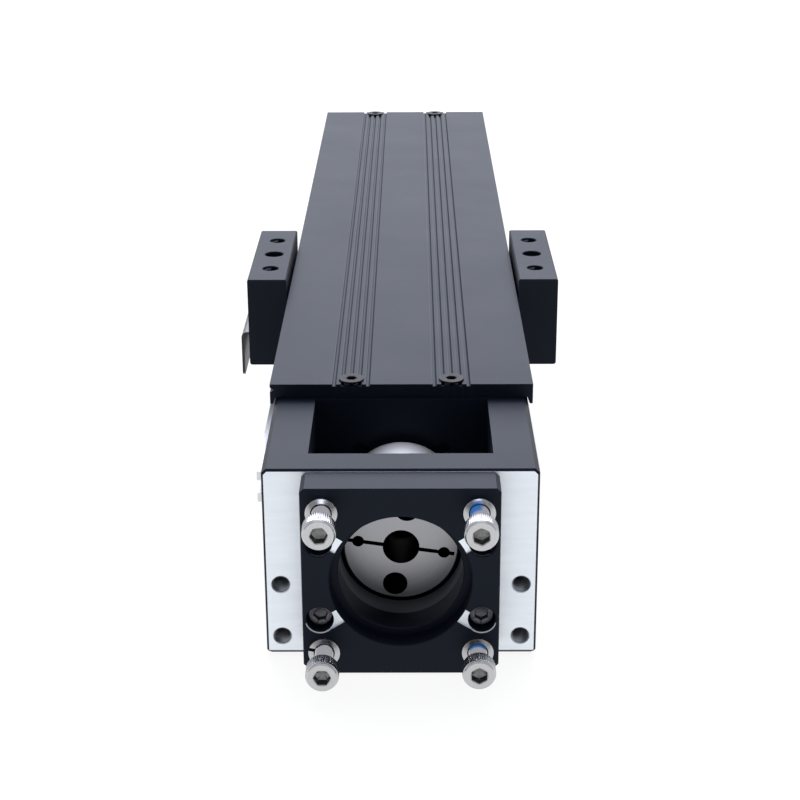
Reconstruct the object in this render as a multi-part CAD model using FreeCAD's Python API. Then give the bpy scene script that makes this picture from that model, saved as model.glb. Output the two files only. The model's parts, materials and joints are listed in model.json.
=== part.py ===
"""Ball screw linear stage with a dust cover, open coupling window and servo motor adapter.

X is across the stage, Y runs along it away from the motor, and Z is up. While modelling, y = 0 is the
front face of the motor side housing, z = 0 the mounting face and x = 0 the screw's plane. The finished
parts are moved so that the origin is the centre of the base's bolt pattern on the mounting face.
"""
import FreeCAD, Part
import math
import os
from FreeCAD import Vector

# Clearances
SEAT = 0.02  # between pieces that are pressed or screwed together, on radius
RUNNING = 0.06  # between a shaft and what it turns in, on radius
SLIDE_GAP = 0.3  # between the slider and the rail
THREAD_GAP = 0.1  # between a screw and its tapped hole, on radius
THROUGH_GAP = 0.25  # between a screw and its plain hole, on radius
OVER = 1.0  # how far a cutting solid runs past the face that it opens

# Cross section
HOUSING_STEP = 0.75  # housing's side inside the rail's side
HOUSING_HIGH = 44.0
HOUSING_CORNER = 1.0
HOUSING_EDGE = 0.5  # chamfer round the front face
HOUSING_TOE = 1.1  # chamfer at the front face's bottom
HOLE_EDGE = 0.2  # chamfer at the mouths of holes
AXIS_HIGH = 22.0  # screw axis above the mounting face
RAIL_WIDE = 60.0
RAIL_HIGH = 33.0
RAIL_WALL = 9.0
RAIL_FLOOR = 8.0
RAIL_CORNER = 1.0
COVER_OVERHANG = 0.4  # cover's side outside the rail's side
COVER_THICK = 3.2
COVER_LIP = 0.7  # lip's thickness at its lower edge
COVER_LIP_ROOT = 1.3  # and where it leaves the cover
COVER_LIP_DROP = 1.6  # lip below the cover's underside
# V groove in the cover's left side: its middle below the top, depth into the side, half width
COVER_SIDE_GROOVE = (1.4, 0.9, 0.6)

# Along the stage
FRONT_WALL = 8.5
CHAMBER_LONG = 31.5
RETAINER_THICK = 3.0
FIXED_SHOULDER = 3.0
HOUSING_LAP = 18.0  # length of rail floor under each housing
RAIL_WALL_LONG = 260.0
COVER_SETBACK = 1.4  # cover's front edge behind the chamber's rear wall

# Coupling window and the bore in front of it
WINDOW_WIDE = 39.6
CHAMBER_FLOOR = 6.5
WALL_BORE_R = 13.3
REGISTER_R = 15.0
REGISTER_DEEP = 2.7
RETAINER_R = 15.0
RETAINER_HOLE_R = 8.2

# Motor adapter plate
PLATE_WIDE = 41.5
PLATE_LOW = 0.25
PLATE_HIGH = 43.15
PLATE_THICK = 8.5
PLATE_CORNER = 2.2  # its bottom corners
PLATE_TOP_CORNER = 0.95
PLATE_EDGE = 0.2
PILOT_R = 15.0
PILOT_DEEP = 4.5
MOTOR_PCD = 46.0
ADAPTER_PCD = 38.5
ADAPTER_ANGLE = 27.6  # adapter screws above and below the horizontal
POCKET_R = 2.95
POCKET_DEEP = 7.1
NOTCH_WIDE = 3.4
NOTCH_DEEP = 0.4
NOTCH_OUT = 18.4  # notch's outer end from the screw's axis
NOTCH_ANGLE = 32.0  # notches above and below the horizontal

# Screws: thread radius, head radius, head height, hexagon across flats, hexagon depth
M4_CAP = (2.0, 3.5, 4.0, 3.0, 2.0)
M3_LOW = (1.5, 2.5, 2.0, 2.0, 1.2)
HEAD_CHAMFER = 0.06  # of the head's radius
MOTOR_SCREW_LONG = 14.0
MOTOR_SCREWS_IN = (6.1, 6.6, 6.6, 7.4)  # lengths screwed into the plate, as supplied
ADAPTER_SCREW_LONG = 8.0
WASHER_R = 3.35
WASHER_THICK = 1.0
WASHER_SPLIT = 0.7
WASHER_TURNS = (270, 270, 168, 270)  # where each washer's split points
WASHER_SLANT = 25.0
FLAT_HEAD_R = 2.9
FLAT_HEAD_DEEP = 1.7
COVER_SCREW_R = 1.5
COVER_SCREW_LONG = 8.0
COVER_SCREW_HEX = 2.0
COVER_SCREW_HEX_DEEP = 1.2
COVER_SCREW_PROUD = 0.4  # head's face above the cover
COVER_SCREW_X = 11.6
COVER_SCREW_EDGE = 3.2  # from each end of the cover

# Tapped holes in the front face
FACE_TAP_R = 1.9
FACE_TAP_DEEP = 10.0
FACE_TAP_IN = 3.5  # from the housing's side
FACE_TAP_Z = (4.6, 17.1)

# Cover grooves
GROOVES = 5
GROOVE_PITCH = 1.95
GROOVE_WIDE = 0.95
GROOVE_DEEP = 0.5

# Base bolt holes
BASE_BOLT_X = 15.0
BASE_BOLT_PITCH = 100.0
BASE_BOLT_ROWS = 3
BASE_BOLT_R = 2.75
BASE_BORE_R = 4.75
BASE_BORE_DEEP = 5.0

# Ball grooves of rail and slider
BALL_GROOVE_R = 1.7
BALL_GROOVE_Z = (15.0, 27.0)

# Housing screws, from below through the rail floor
LAP_SCREW_IN = 10.0  # from the rail's side
LAP_SCREW_R = 2.0
LAP_SCREW_HEAD_R = 4.0
LAP_SCREW_LONG = 16.0
LAP_SCREW_SUNK = 0.5
LAP_SCREW_HEX = 2.5
LAP_SCREW_HEX_DEEP = 1.5
LAP_TAP_SPARE = 1.5  # hole beyond the screw's end

# Ball screw
SCREW_R = 6.0
FIXED_JOURNAL_R = 5.0
DRIVE_JOURNAL_R = 4.0
FREE_JOURNAL_R = 4.0
DRIVE_JOURNAL_IN = 11.5  # length inside the coupling's rear hub
SCREW_TIP = 0.6  # shaft end inside the stage's rear face
SCREW_CHAMFER = 0.5
LOCK_NUT_R = 7.6
LOCK_NUT_THICK = 4.0
LOCK_NUT_SLOT = 2.0
RING_GROOVE_DEEP = 0.4
SNAP_RING_THICK = 0.9
SNAP_RING_R = 5.6

# Bearings: width, outer radius, inner ring's outer radius, outer ring's inner radius, ball radius
FIXED_BEARING = (8.0, 13.0, 7.5, 10.5, 2.0)
FREE_BEARING = (7.0, 11.0, 6.0, 9.0, 1.9)
FIXED_BALLS = 8
FREE_BALLS = 7
BALL_GAP = 0.3
FREE_SHOULDER_R = 7.0
FIXED_SHOULDER_R = 10.0

# Coupling
COUPLING_R = 12.5
COUPLING_FRONT = 8.2  # front face behind the housing's front face
HUB_LONG = 12.0
DISC_LONG = 5.0
DISC_R = 11.6
DISC_WALL = 1.0
COUPLING_BORE_R = 4.0
COUPLING_TILT = 8.4
SLIT_WIDE = 0.9
RELIEF_R = 1.3
RELIEF_OUT = 9.45
RELIEF_NUB = 1.0  # slit beyond the right relief hole
DISC_HOLE_R = 2.7
DISC_HOLE_OUT = 9.0
CLAMP_SCREW_R = 1.25
CLAMP_SCREW_HEAD_R = 2.2
CLAMP_SCREW_HEAD = 2.2
CLAMP_SCREW_HEX = 2.0
CLAMP_SCREW_OUT = 6.1
CLAMP_HEAD_DEPTH = 6.2  # head's seat below the slit plane
CLAMP_SCREW_UP = 5.0  # screw's end above the slit plane

# Slider
SLIDER_CENTRE = 133.4
SLIDER_LONG = 60.0
SLIDER_LOW = 9.0
SLIDER_TOP = 33.8
CAP_THICK = 6.0
CAP_INSET = 0.4
SEAL_THICK = 2.0
SEAL_LIP = 0.2  # wiper's gap to the screw
NUT_R = 9.6
NUT_LONG = 44.0
CAP_TAP_SPARE = 1.0  # hole beyond the screw's end
CAP_SCREW_IN = 5.2  # from the slider's sides
CAP_SCREW_UP = 3.5  # from the slider's bottom and top
CAP_SCREW_R = 1.25
CAP_SCREW_HEAD_R = 2.2
CAP_SCREW_HEAD = 1.5
CAP_SCREW_LONG = 12.0
NIPPLE_IN = 3.5  # inside the cap's screw
NIPPLE_R = 2.0
NIPPLE_HIGH = 4.0
NIPPLE_DEEP = 3.0

# Table: a bridge under the cover and a block on each side of it
TABLE_LONG = 48.3
BRIDGE_TOP = 41.5
BLOCK_GAP = 1.0  # block's inner face outside the rail's side
BLOCK_WIDE = 10.5
BLOCK_LOW = 27.0
BLOCK_TOP = 51.0
BLOCK_EDGE = 0.35
BLOCK_ROUND = 0.7  # its lower outer edge
TABLE_HOLE_IN = 5.0  # from the block's inner face
TABLE_HOLE_PITCH = 13.5
TABLE_TAP_R = 2.1
TABLE_DOWEL_R = 2.5
TABLE_HOLE_DEEP = 14.0
TABLE_SCREW_IN = 6.7  # from the slider's sides
TABLE_SCREW_Y = 16.0
TABLE_SCREW_LONG = 10.0
TABLE_SCREW_SUNK = 0.4

# Sensor dog on the left block, and the rail that its sensors clip into
DOG_THICK = 0.7
DOG_FRONT = 2.2  # behind the block's front face
DOG_LEG_OUT = 1.6  # gap between the leg and the block
DOG_HIGH = 35.6
DOG_LOW = 23.3
DOG_TAB_TOP = 45.0
DOG_TAB_LONG = 17.0
DOG_CUT = 0.6
DOG_BEND = 0.9  # inside the bend
DOG_SCREW_R = 1.5
DOG_SCREW_HEAD_R = 2.6
DOG_SCREW_HEAD = 1.0
DOG_SCREW_LONG = 3.5
DOG_TAP_SPARE = 0.3  # hole beyond the screw's end
DOG_SCREW_PITCH = 8.0
DOG_SCREW_Z = 40.5
SENSOR_RAIL_LOW = 13.5
SENSOR_RAIL_HIGH = 8.0
SENSOR_RAIL_DEEP = 5.0
SENSOR_RAIL_WALL = 1.2
SENSOR_RAIL_LIP = 2.3
SENSOR_RAIL_FRONT = 50.0
SENSOR_RAIL_END = 4.0  # before the stage's rear face
SENSOR_SCREW_R = 1.5
SENSOR_SCREW_HEAD_R = 2.0
SENSOR_SCREW_HEAD = 1.5
SENSOR_SCREW_LONG = 6.0
SENSOR_SCREWS = 3
SENSOR_SCREW_END = 25.0
SENSOR_TAP_SPARE = 1.0  # hole beyond the screw's end

# Bumpers
BUMPER_THICK = 2.5
BUMPER_IN = 3.0  # from the rail's walls
BUMPER_GAP = 1.0  # below the screw

# Bearing retainer
RETAINER_SLOT = 2.5
RETAINER_SLOT_DEEP = 1.4
RETAINER_SLOT_IN = 2.0  # slot's inner end outside the ring's bore

# Places worked out from the sizes
HOUSING_WIDE = RAIL_WIDE - 2 * HOUSING_STEP
COVER_WIDE = RAIL_WIDE + 2 * COVER_OVERHANG
RAIL_INNER = RAIL_WIDE / 2 - RAIL_WALL
FACE_TAP_X = HOUSING_WIDE / 2 - FACE_TAP_IN
LAP_SCREW_X = RAIL_WIDE / 2 - LAP_SCREW_IN
BLOCK_IN = RAIL_WIDE / 2 + BLOCK_GAP
BLOCK_OUT = BLOCK_IN + BLOCK_WIDE
TABLE_HOLE_X = BLOCK_IN + TABLE_HOLE_IN
CHAMBER_REAR = FRONT_WALL + CHAMBER_LONG
FIXED_BEARING_Y = CHAMBER_REAR + RETAINER_THICK
HOUSING_REAR = FIXED_BEARING_Y + 2 * FIXED_BEARING[0] + FIXED_SHOULDER
LAP_FRONT = HOUSING_REAR - HOUSING_LAP
REAR_HOUSING_Y = HOUSING_REAR + RAIL_WALL_LONG
STAGE_REAR = REAR_HOUSING_Y + HOUSING_LAP
FREE_BEARING_Y = STAGE_REAR - FREE_BEARING[0] - SNAP_RING_THICK - SCREW_TIP - SCREW_CHAMFER
COVER_FRONT = CHAMBER_REAR + COVER_SETBACK
COUPLING_REAR = COUPLING_FRONT + 2 * HUB_LONG + DISC_LONG
SLIDER_WIDE = 2 * (RAIL_INNER - SLIDE_GAP)
CAP_SCREW_X = SLIDER_WIDE / 2 - CAP_SCREW_IN
CAP_SCREW_Z = (SLIDER_LOW + CAP_SCREW_UP, SLIDER_TOP - CAP_SCREW_UP)
TABLE_SCREW_X = SLIDER_WIDE / 2 - TABLE_SCREW_IN
NIPPLE_X = CAP_SCREW_X - NIPPLE_IN
TABLE_FRONT = SLIDER_CENTRE - TABLE_LONG / 2
TABLE_REAR = SLIDER_CENTRE + TABLE_LONG / 2
ORIGIN_Y = HOUSING_REAR + RAIL_WALL_LONG / 2


def box(x0, x1, y0, y1, z0, z1):
    """Block between two corners."""
    return Part.makeBox(x1 - x0, y1 - y0, z1 - z0, Vector(x0, y0, z0))


def rod_y(r, y0, y1, x=0.0, z=AXIS_HIGH):
    """Cylinder along Y."""
    return Part.makeCylinder(r, y1 - y0, Vector(x, y0, z), Vector(0, 1, 0))


def rod_z(r, z0, z1, x, y):
    """Cylinder along Z."""
    return Part.makeCylinder(r, z1 - z0, Vector(x, y, z0), Vector(0, 0, 1))


def rod_x(r, x0, x1, y, z):
    """Cylinder along X."""
    return Part.makeCylinder(r, x1 - x0, Vector(x0, y, z), Vector(1, 0, 0))


def ring_y(r_in, r_out, y0, y1):
    """Tube along Y round the screw's axis."""
    return rod_y(r_out, y0, y1).cut(rod_y(r_in, y0 - OVER, y1 + OVER))


def prism_y(points, y0, y1):
    """Outline of (x, z) points, extruded along Y."""
    corners = [Vector(x, y0, z) for x, z in points]
    face = Part.Face(Part.makePolygon(corners + corners[:1]))
    return face.extrude(Vector(0, y1 - y0, 0))


def prism_x(points, x0, x1):
    """Outline of (y, z) points, extruded along X."""
    corners = [Vector(x0, y, z) for y, z in points]
    face = Part.Face(Part.makePolygon(corners + corners[:1]))
    return face.extrude(Vector(x1 - x0, 0, 0))


def mouth_y(r, y, x=0.0, z=AXIS_HIGH):
    """Cutter for the chamfer of a hole that opens towards the front at y."""
    r_out = r + HOLE_EDGE + OVER
    return Part.makeCone(r_out, r, HOLE_EDGE + OVER, Vector(x, y - OVER, z), Vector(0, 1, 0))


def mouth_z(r, z, x, y):
    """Cutter for the chamfer of a hole that opens upwards at z."""
    return Part.makeCone(r, r + HOLE_EDGE + OVER, HOLE_EDGE + OVER, Vector(x, y, z - HOLE_EDGE))


def cut_corner_box(wide, z0, z1, y0, y1, low, high):
    """Block along Y whose four long edges are cut at 45 degrees, by one size below and one above."""
    h = wide / 2
    points = [(-h + low, z0), (h - low, z0), (h, z0 + low), (h, z1 - high)]
    points += [(h - high, z1), (-h + high, z1), (-h, z1 - high), (-h, z0 + low)]
    return prism_y(points, y0, y1)


def chamfer_at(shape, axis, value, size, near=1e-3):
    """Chamfers every edge that lies in one plane across an axis."""
    name = "XYZ".index(axis)
    edges = []
    for edge in shape.Edges:
        low = (edge.BoundBox.XMin, edge.BoundBox.YMin, edge.BoundBox.ZMin)[name]
        high = (edge.BoundBox.XMax, edge.BoundBox.YMax, edge.BoundBox.ZMax)[name]
        if abs(low - value) < near and abs(high - value) < near:
            edges.append(edge)
    return shape.makeChamfer(size, edges)


def round_along_y(shape, x, z, r, near=1e-3):
    """Rounds the edges that run along Y at one (x, z) place."""
    edges = []
    for edge in shape.Edges:
        b = edge.BoundBox
        if max(abs(b.XMin - x), abs(b.XMax - x), abs(b.ZMin - z), abs(b.ZMax - z)) < near:
            edges.append(edge)
    return shape.makeFillet(r, edges)


def hexagon(flats, depth):
    """Hexagonal bar along +Z from the origin."""
    r = flats / math.sqrt(3)
    turns = [math.radians(a) for a in range(0, 360, 60)]
    corners = [Vector(r * math.cos(a), r * math.sin(a), 0) for a in turns]
    return Part.Face(Part.makePolygon(corners + corners[:1])).extrude(Vector(0, 0, depth))


def cap_screw(size, long):
    """Socket head screw along Z: the head's seat is at z = 0 and the shank points down."""
    thread_r, head_r, head_high, flats, deep = size
    head = Part.makeCylinder(head_r, head_high)
    head = chamfer_at(head, "Z", head_high, HEAD_CHAMFER * head_r)
    socket = hexagon(flats, deep).translate(Vector(0, 0, head_high - deep))
    shank = Part.makeCylinder(thread_r, long, Vector(0, 0, -long))
    return head.cut(socket).fuse(shank).removeSplitter()


def round_screw(thread_r, head_r, head_high, long):
    """Low round head screw along Z: the head's seat is at z = 0 and the shank points down."""
    head = Part.makeCylinder(head_r, head_high)
    shank = Part.makeCylinder(thread_r, long, Vector(0, 0, -long))
    slot = hexagon(thread_r, head_high / 2).translate(Vector(0, 0, head_high / 2))
    return head.cut(slot).fuse(shank).removeSplitter()


def flat_screw(thread_r, head_r, head_deep, long, flats, deep):
    """Countersunk screw along Z: the head's face is at z = 0 and the shank points down."""
    head = Part.makeCone(thread_r, head_r, head_deep, Vector(0, 0, -head_deep))
    shank = Part.makeCylinder(thread_r, long - head_deep, Vector(0, 0, -long))
    socket = hexagon(flats, deep).translate(Vector(0, 0, -deep))
    return head.fuse(shank).cut(socket).removeSplitter()


def facing(shape, direction, place):
    """Turns a shape made along +Z to point along a direction, and places it."""
    turned = shape.copy()
    turned.Placement = FreeCAD.Placement(place, FreeCAD.Rotation(Vector(0, 0, 1), direction))
    return turned


def circle_places(pcd, angles):
    """(x, z) places on a circle round the screw's axis."""
    return [
        (pcd / 2 * math.cos(math.radians(a)), AXIS_HIGH + pcd / 2 * math.sin(math.radians(a))) for a in angles
    ]


MOTOR_PLACES = circle_places(MOTOR_PCD, (45, 135, 225, 315))
ADAPTER_PLACES = circle_places(
    ADAPTER_PCD, (ADAPTER_ANGLE, 180 - ADAPTER_ANGLE, 180 + ADAPTER_ANGLE, 360 - ADAPTER_ANGLE)
)
COVER_SCREW_YS = (COVER_FRONT + COVER_SCREW_EDGE, STAGE_REAR - COVER_SCREW_EDGE)
COVER_SCREW_PLACES = [(x, y) for y in COVER_SCREW_YS for x in (-COVER_SCREW_X, COVER_SCREW_X)]
LAP_YS = (HOUSING_REAR - HOUSING_LAP / 2, REAR_HOUSING_Y + HOUSING_LAP / 2)
LAP_PLACES = [(x, y) for y in LAP_YS for x in (-LAP_SCREW_X, LAP_SCREW_X)]
TABLE_SCREW_PLACES = [
    (x, SLIDER_CENTRE + y) for x in (-TABLE_SCREW_X, TABLE_SCREW_X) for y in (-TABLE_SCREW_Y, TABLE_SCREW_Y)
]
CAP_SCREW_PLACES = [(x, z) for x in (-CAP_SCREW_X, CAP_SCREW_X) for z in CAP_SCREW_Z]


def motor_side_housing():
    """Housing with the coupling chamber, its window and the fixed bearings' seat."""
    corner = HOUSING_CORNER
    body = cut_corner_box(HOUSING_WIDE, 0, HOUSING_HIGH, 0, HOUSING_REAR, corner, corner)
    body = chamfer_at(body, "Y", 0, HOUSING_EDGE)
    half = WINDOW_WIDE / 2
    toe = [(-OVER, -OVER), (-OVER, HOUSING_TOE + OVER), (HOUSING_TOE + OVER, -OVER)]
    cuts = [
        prism_x(toe, -HOUSING_WIDE, HOUSING_WIDE),
        box(-half, half, FRONT_WALL, CHAMBER_REAR, CHAMBER_FLOOR, HOUSING_HIGH + OVER),
        box(-RAIL_WIDE, RAIL_WIDE, LAP_FRONT, HOUSING_REAR + OVER, -OVER, RAIL_FLOOR),
        rod_y(REGISTER_R + SEAT, -OVER, REGISTER_DEEP),
        rod_y(WALL_BORE_R, -OVER, FRONT_WALL + OVER),
        rod_y(RETAINER_R + SEAT, CHAMBER_REAR - OVER, FIXED_BEARING_Y),
        rod_y(FIXED_BEARING[1] + SEAT, FIXED_BEARING_Y - OVER, HOUSING_REAR - FIXED_SHOULDER),
        rod_y(FIXED_SHOULDER_R, HOUSING_REAR - FIXED_SHOULDER - OVER, HOUSING_REAR + OVER),
    ]
    for x in (-FACE_TAP_X, FACE_TAP_X):
        for z in FACE_TAP_Z:
            cuts.append(rod_y(FACE_TAP_R, -OVER, FACE_TAP_DEEP, x, z))
            cuts.append(mouth_y(FACE_TAP_R, 0, x, z))
    for x, z in ADAPTER_PLACES:
        cuts.append(rod_y(M3_LOW[0] + THREAD_GAP, -OVER, FRONT_WALL + OVER, x, z))
    for x, y in COVER_SCREW_PLACES[:2]:
        cuts.append(cover_screw_tap(x, y))
    for x, y in LAP_PLACES[:2]:
        cuts.append(rod_z(LAP_SCREW_R + THREAD_GAP, RAIL_FLOOR - OVER, lap_tap_end(), x, y))
    return body.cut(cuts)


def cover_screw_tap(x, y):
    """Hole under one cover screw in a housing's top."""
    return rod_z(COVER_SCREW_R + THREAD_GAP, HOUSING_HIGH - COVER_SCREW_LONG, HOUSING_HIGH + OVER, x, y)


def lap_tap_end():
    """Height of the housing screws' hole ends."""
    return LAP_SCREW_SUNK + LAP_SCREW_LONG + LAP_TAP_SPARE


def rear_housing():
    """Housing of the free bearing, on the rail's rear end."""
    corner = HOUSING_CORNER
    body = cut_corner_box(HOUSING_WIDE, RAIL_FLOOR, HOUSING_HIGH, REAR_HOUSING_Y, STAGE_REAR, corner, corner)
    body = chamfer_at(body, "Y", STAGE_REAR, HOUSING_EDGE)
    cuts = [
        rod_y(FREE_BEARING[1] + SEAT, FREE_BEARING_Y, STAGE_REAR + OVER),
        rod_y(FREE_SHOULDER_R + SLIDE_GAP, REAR_HOUSING_Y - OVER, STAGE_REAR),
    ]
    for x, y in COVER_SCREW_PLACES[2:]:
        cuts.append(cover_screw_tap(x, y))
    for x, y in LAP_PLACES[2:]:
        cuts.append(rod_z(LAP_SCREW_R + THREAD_GAP, RAIL_FLOOR - OVER, lap_tap_end(), x, y))
    return body.cut(cuts)


def sensor_tap_end():
    """Where the holes of the sensor rail's screws end in the rail's wall."""
    return -RAIL_WIDE / 2 - SENSOR_RAIL_WALL + SENSOR_SCREW_LONG + SENSOR_TAP_SPARE


def base_rail():
    """Ground steel channel: floor, two walls with ball grooves, and a lap at each end for a housing."""
    inner = RAIL_INNER
    body = cut_corner_box(RAIL_WIDE, 0, RAIL_HIGH, LAP_FRONT, STAGE_REAR, RAIL_CORNER, RAIL_CORNER)
    cuts = [
        box(-inner, inner, LAP_FRONT - OVER, STAGE_REAR + OVER, RAIL_FLOOR, RAIL_HIGH + OVER),
        box(-RAIL_WIDE, RAIL_WIDE, LAP_FRONT - OVER, HOUSING_REAR, RAIL_FLOOR, RAIL_HIGH + OVER),
        box(-RAIL_WIDE, RAIL_WIDE, REAR_HOUSING_Y, STAGE_REAR + OVER, RAIL_FLOOR, RAIL_HIGH + OVER),
    ]
    for x in (-inner, inner):
        for z in BALL_GROOVE_Z:
            cuts.append(rod_y(BALL_GROOVE_R, HOUSING_REAR - OVER, REAR_HOUSING_Y + OVER, x, z))
    for row in range(BASE_BOLT_ROWS):
        y = ORIGIN_Y + BASE_BOLT_PITCH * (row - (BASE_BOLT_ROWS - 1) / 2)
        for x in (-BASE_BOLT_X, BASE_BOLT_X):
            cuts.append(rod_z(BASE_BOLT_R, -OVER, RAIL_FLOOR + OVER, x, y))
            cuts.append(rod_z(BASE_BORE_R, RAIL_FLOOR - BASE_BORE_DEEP, RAIL_FLOOR + OVER, x, y))
    sink = LAP_SCREW_HEAD_R - LAP_SCREW_R
    for x, y in LAP_PLACES:
        cuts.append(rod_z(LAP_SCREW_R + THROUGH_GAP, -OVER, RAIL_FLOOR + OVER, x, y))
        cone = Part.makeCone(LAP_SCREW_HEAD_R + THROUGH_GAP, LAP_SCREW_R + THROUGH_GAP, sink)
        cuts.append(cone.translate(Vector(x, y, LAP_SCREW_SUNK)))
        cuts.append(rod_z(LAP_SCREW_HEAD_R + THROUGH_GAP, -OVER, LAP_SCREW_SUNK, x, y))
    for y in sensor_screw_ys():
        z = SENSOR_RAIL_LOW + SENSOR_RAIL_HIGH / 2
        cuts.append(rod_x(SENSOR_SCREW_R + THREAD_GAP, -RAIL_WIDE / 2 - OVER, sensor_tap_end(), y, z))
    return body.cut(cuts)


def lap_screws():
    """Countersunk screws from below that hold both housings on the rail."""
    sink = LAP_SCREW_HEAD_R - LAP_SCREW_R
    screw = flat_screw(LAP_SCREW_R, LAP_SCREW_HEAD_R, sink, LAP_SCREW_LONG, LAP_SCREW_HEX, LAP_SCREW_HEX_DEEP)
    down = Vector(0, 0, -1)
    return [facing(screw, down, Vector(x, y, LAP_SCREW_SUNK)) for x, y in LAP_PLACES]


def motor_adapter_plate():
    """Plate that carries the servo motor: pilot bore, tapped holes and four pockets for its own screws."""
    top = PLATE_LOW + PLATE_HIGH
    body = cut_corner_box(PLATE_WIDE, PLATE_LOW, top, -PLATE_THICK, 0, PLATE_CORNER, PLATE_TOP_CORNER)
    body = chamfer_at(body, "Y", -PLATE_THICK, PLATE_EDGE)
    body = body.fuse(rod_y(REGISTER_R - SEAT, -OVER, REGISTER_DEEP - SEAT))
    cuts = [
        rod_y(PILOT_R, -PLATE_THICK - OVER, PILOT_DEEP - PLATE_THICK),
        rod_y(WALL_BORE_R, -PLATE_THICK, REGISTER_DEEP + OVER),
        mouth_y(PILOT_R, -PLATE_THICK),
        mouth_y(WALL_BORE_R, PILOT_DEEP - PLATE_THICK),
    ]
    for x, z in MOTOR_PLACES:
        cuts.append(rod_y(M4_CAP[0] + THREAD_GAP, -PLATE_THICK - OVER, OVER, x, z))
    half = NOTCH_WIDE / 2
    notch = box(0, NOTCH_OUT, -PLATE_THICK - OVER, NOTCH_DEEP - PLATE_THICK, -half, half)
    for turn in (NOTCH_ANGLE, 180 - NOTCH_ANGLE, 180 + NOTCH_ANGLE, -NOTCH_ANGLE):
        slot = notch.copy()
        slot.rotate(Vector(0, 0, 0), Vector(0, 1, 0), -turn)
        slot.translate(Vector(0, 0, AXIS_HIGH))
        cuts.append(slot)
    for x, z in ADAPTER_PLACES:
        cuts.append(rod_y(M3_LOW[0] + THROUGH_GAP, -PLATE_THICK - OVER, OVER, x, z))
        cuts.append(rod_y(POCKET_R, -PLATE_THICK - OVER, POCKET_DEEP - PLATE_THICK, x, z))
        cuts.append(mouth_y(POCKET_R, -PLATE_THICK, x, z))
    return body.cut(cuts)


def adapter_plate_screws():
    """Screws in the plate's pockets."""
    screw = cap_screw(M3_LOW, ADAPTER_SCREW_LONG)
    y = POCKET_DEEP - PLATE_THICK
    return [facing(screw, Vector(0, -1, 0), Vector(x, y, z)) for x, z in ADAPTER_PLACES]


def motor_screws():
    """Screws for the motor, part way into their threads as the stage is supplied."""
    screw = cap_screw(M4_CAP, MOTOR_SCREW_LONG)
    seats = [-PLATE_THICK - MOTOR_SCREW_LONG + length_in for length_in in MOTOR_SCREWS_IN]
    return [facing(screw, Vector(0, -1, 0), Vector(x, y, z)) for (x, z), y in zip(MOTOR_PLACES, seats)]


def motor_spring_washers():
    """Split washers on the motor screws, lying on the plate."""
    rings = []
    y0 = -PLATE_THICK - WASHER_THICK
    half = WASHER_SPLIT / 2
    for (x, z), turn in zip(MOTOR_PLACES, WASHER_TURNS):
        ring = rod_y(WASHER_R, y0, -PLATE_THICK, x, z)
        ring = ring.cut(rod_y(M4_CAP[0] + THROUGH_GAP, y0 - OVER, OVER, x, z))
        split = box(0, 2 * WASHER_R, -2 * WASHER_THICK, 2 * WASHER_THICK, -half, half)
        split.rotate(Vector(0, 0, 0), Vector(1, 0, 0), WASHER_SLANT)
        split.rotate(Vector(0, 0, 0), Vector(0, 1, 0), -turn)
        rings.append(ring.cut(split.translate(Vector(x, y0 + WASHER_THICK / 2, z))))
    return rings


def cover_grooves():
    """Centre lines of the grooves in the cover's top, left to right."""
    spread = [GROOVE_PITCH * (i - (GROOVES - 1) / 2) for i in range(GROOVES)]
    return [centre + s for centre in (-COVER_SCREW_X, COVER_SCREW_X) for s in spread]


def top_cover():
    """Extruded dust cover: grooved top and two short lips over the housings' sides."""
    top = HOUSING_HIGH + COVER_THICK
    half = COVER_WIDE / 2
    inner = half - COVER_LIP
    low = HOUSING_HIGH - COVER_LIP_DROP
    down, deep, w = COVER_SIDE_GROOVE
    points = [(-half, low), (-half, top - down - w), (-half + deep, top - down), (-half, top - down + w)]
    points.append((-half, top))
    for x in cover_grooves():
        w = GROOVE_WIDE / 2
        points += [(x - w, top), (x - w, top - GROOVE_DEEP), (x + w, top - GROOVE_DEEP), (x + w, top)]
    points += [(half, top), (half, low), (inner, low)]
    root = half - COVER_LIP_ROOT
    points += [(root, HOUSING_HIGH), (-root, HOUSING_HIGH), (-inner, low)]
    body = prism_y(points, COVER_FRONT, STAGE_REAR)
    cuts = []
    face = top + COVER_SCREW_PROUD
    for x, y in COVER_SCREW_PLACES:
        cuts.append(rod_z(COVER_SCREW_R + THROUGH_GAP, HOUSING_HIGH - OVER, top + OVER, x, y))
        cone = Part.makeCone(COVER_SCREW_R + THROUGH_GAP, FLAT_HEAD_R + THROUGH_GAP, FLAT_HEAD_DEEP)
        cuts.append(cone.translate(Vector(x, y, face - FLAT_HEAD_DEEP)))
    return body.cut(cuts)


def cover_screws():
    """Countersunk screws at the cover's corners."""
    screw = flat_screw(
        COVER_SCREW_R, FLAT_HEAD_R, FLAT_HEAD_DEEP, COVER_SCREW_LONG, COVER_SCREW_HEX, COVER_SCREW_HEX_DEEP
    )
    z = HOUSING_HIGH + COVER_THICK + COVER_SCREW_PROUD
    return [screw.copy().translate(Vector(x, y, z)) for x, y in COVER_SCREW_PLACES]


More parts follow.
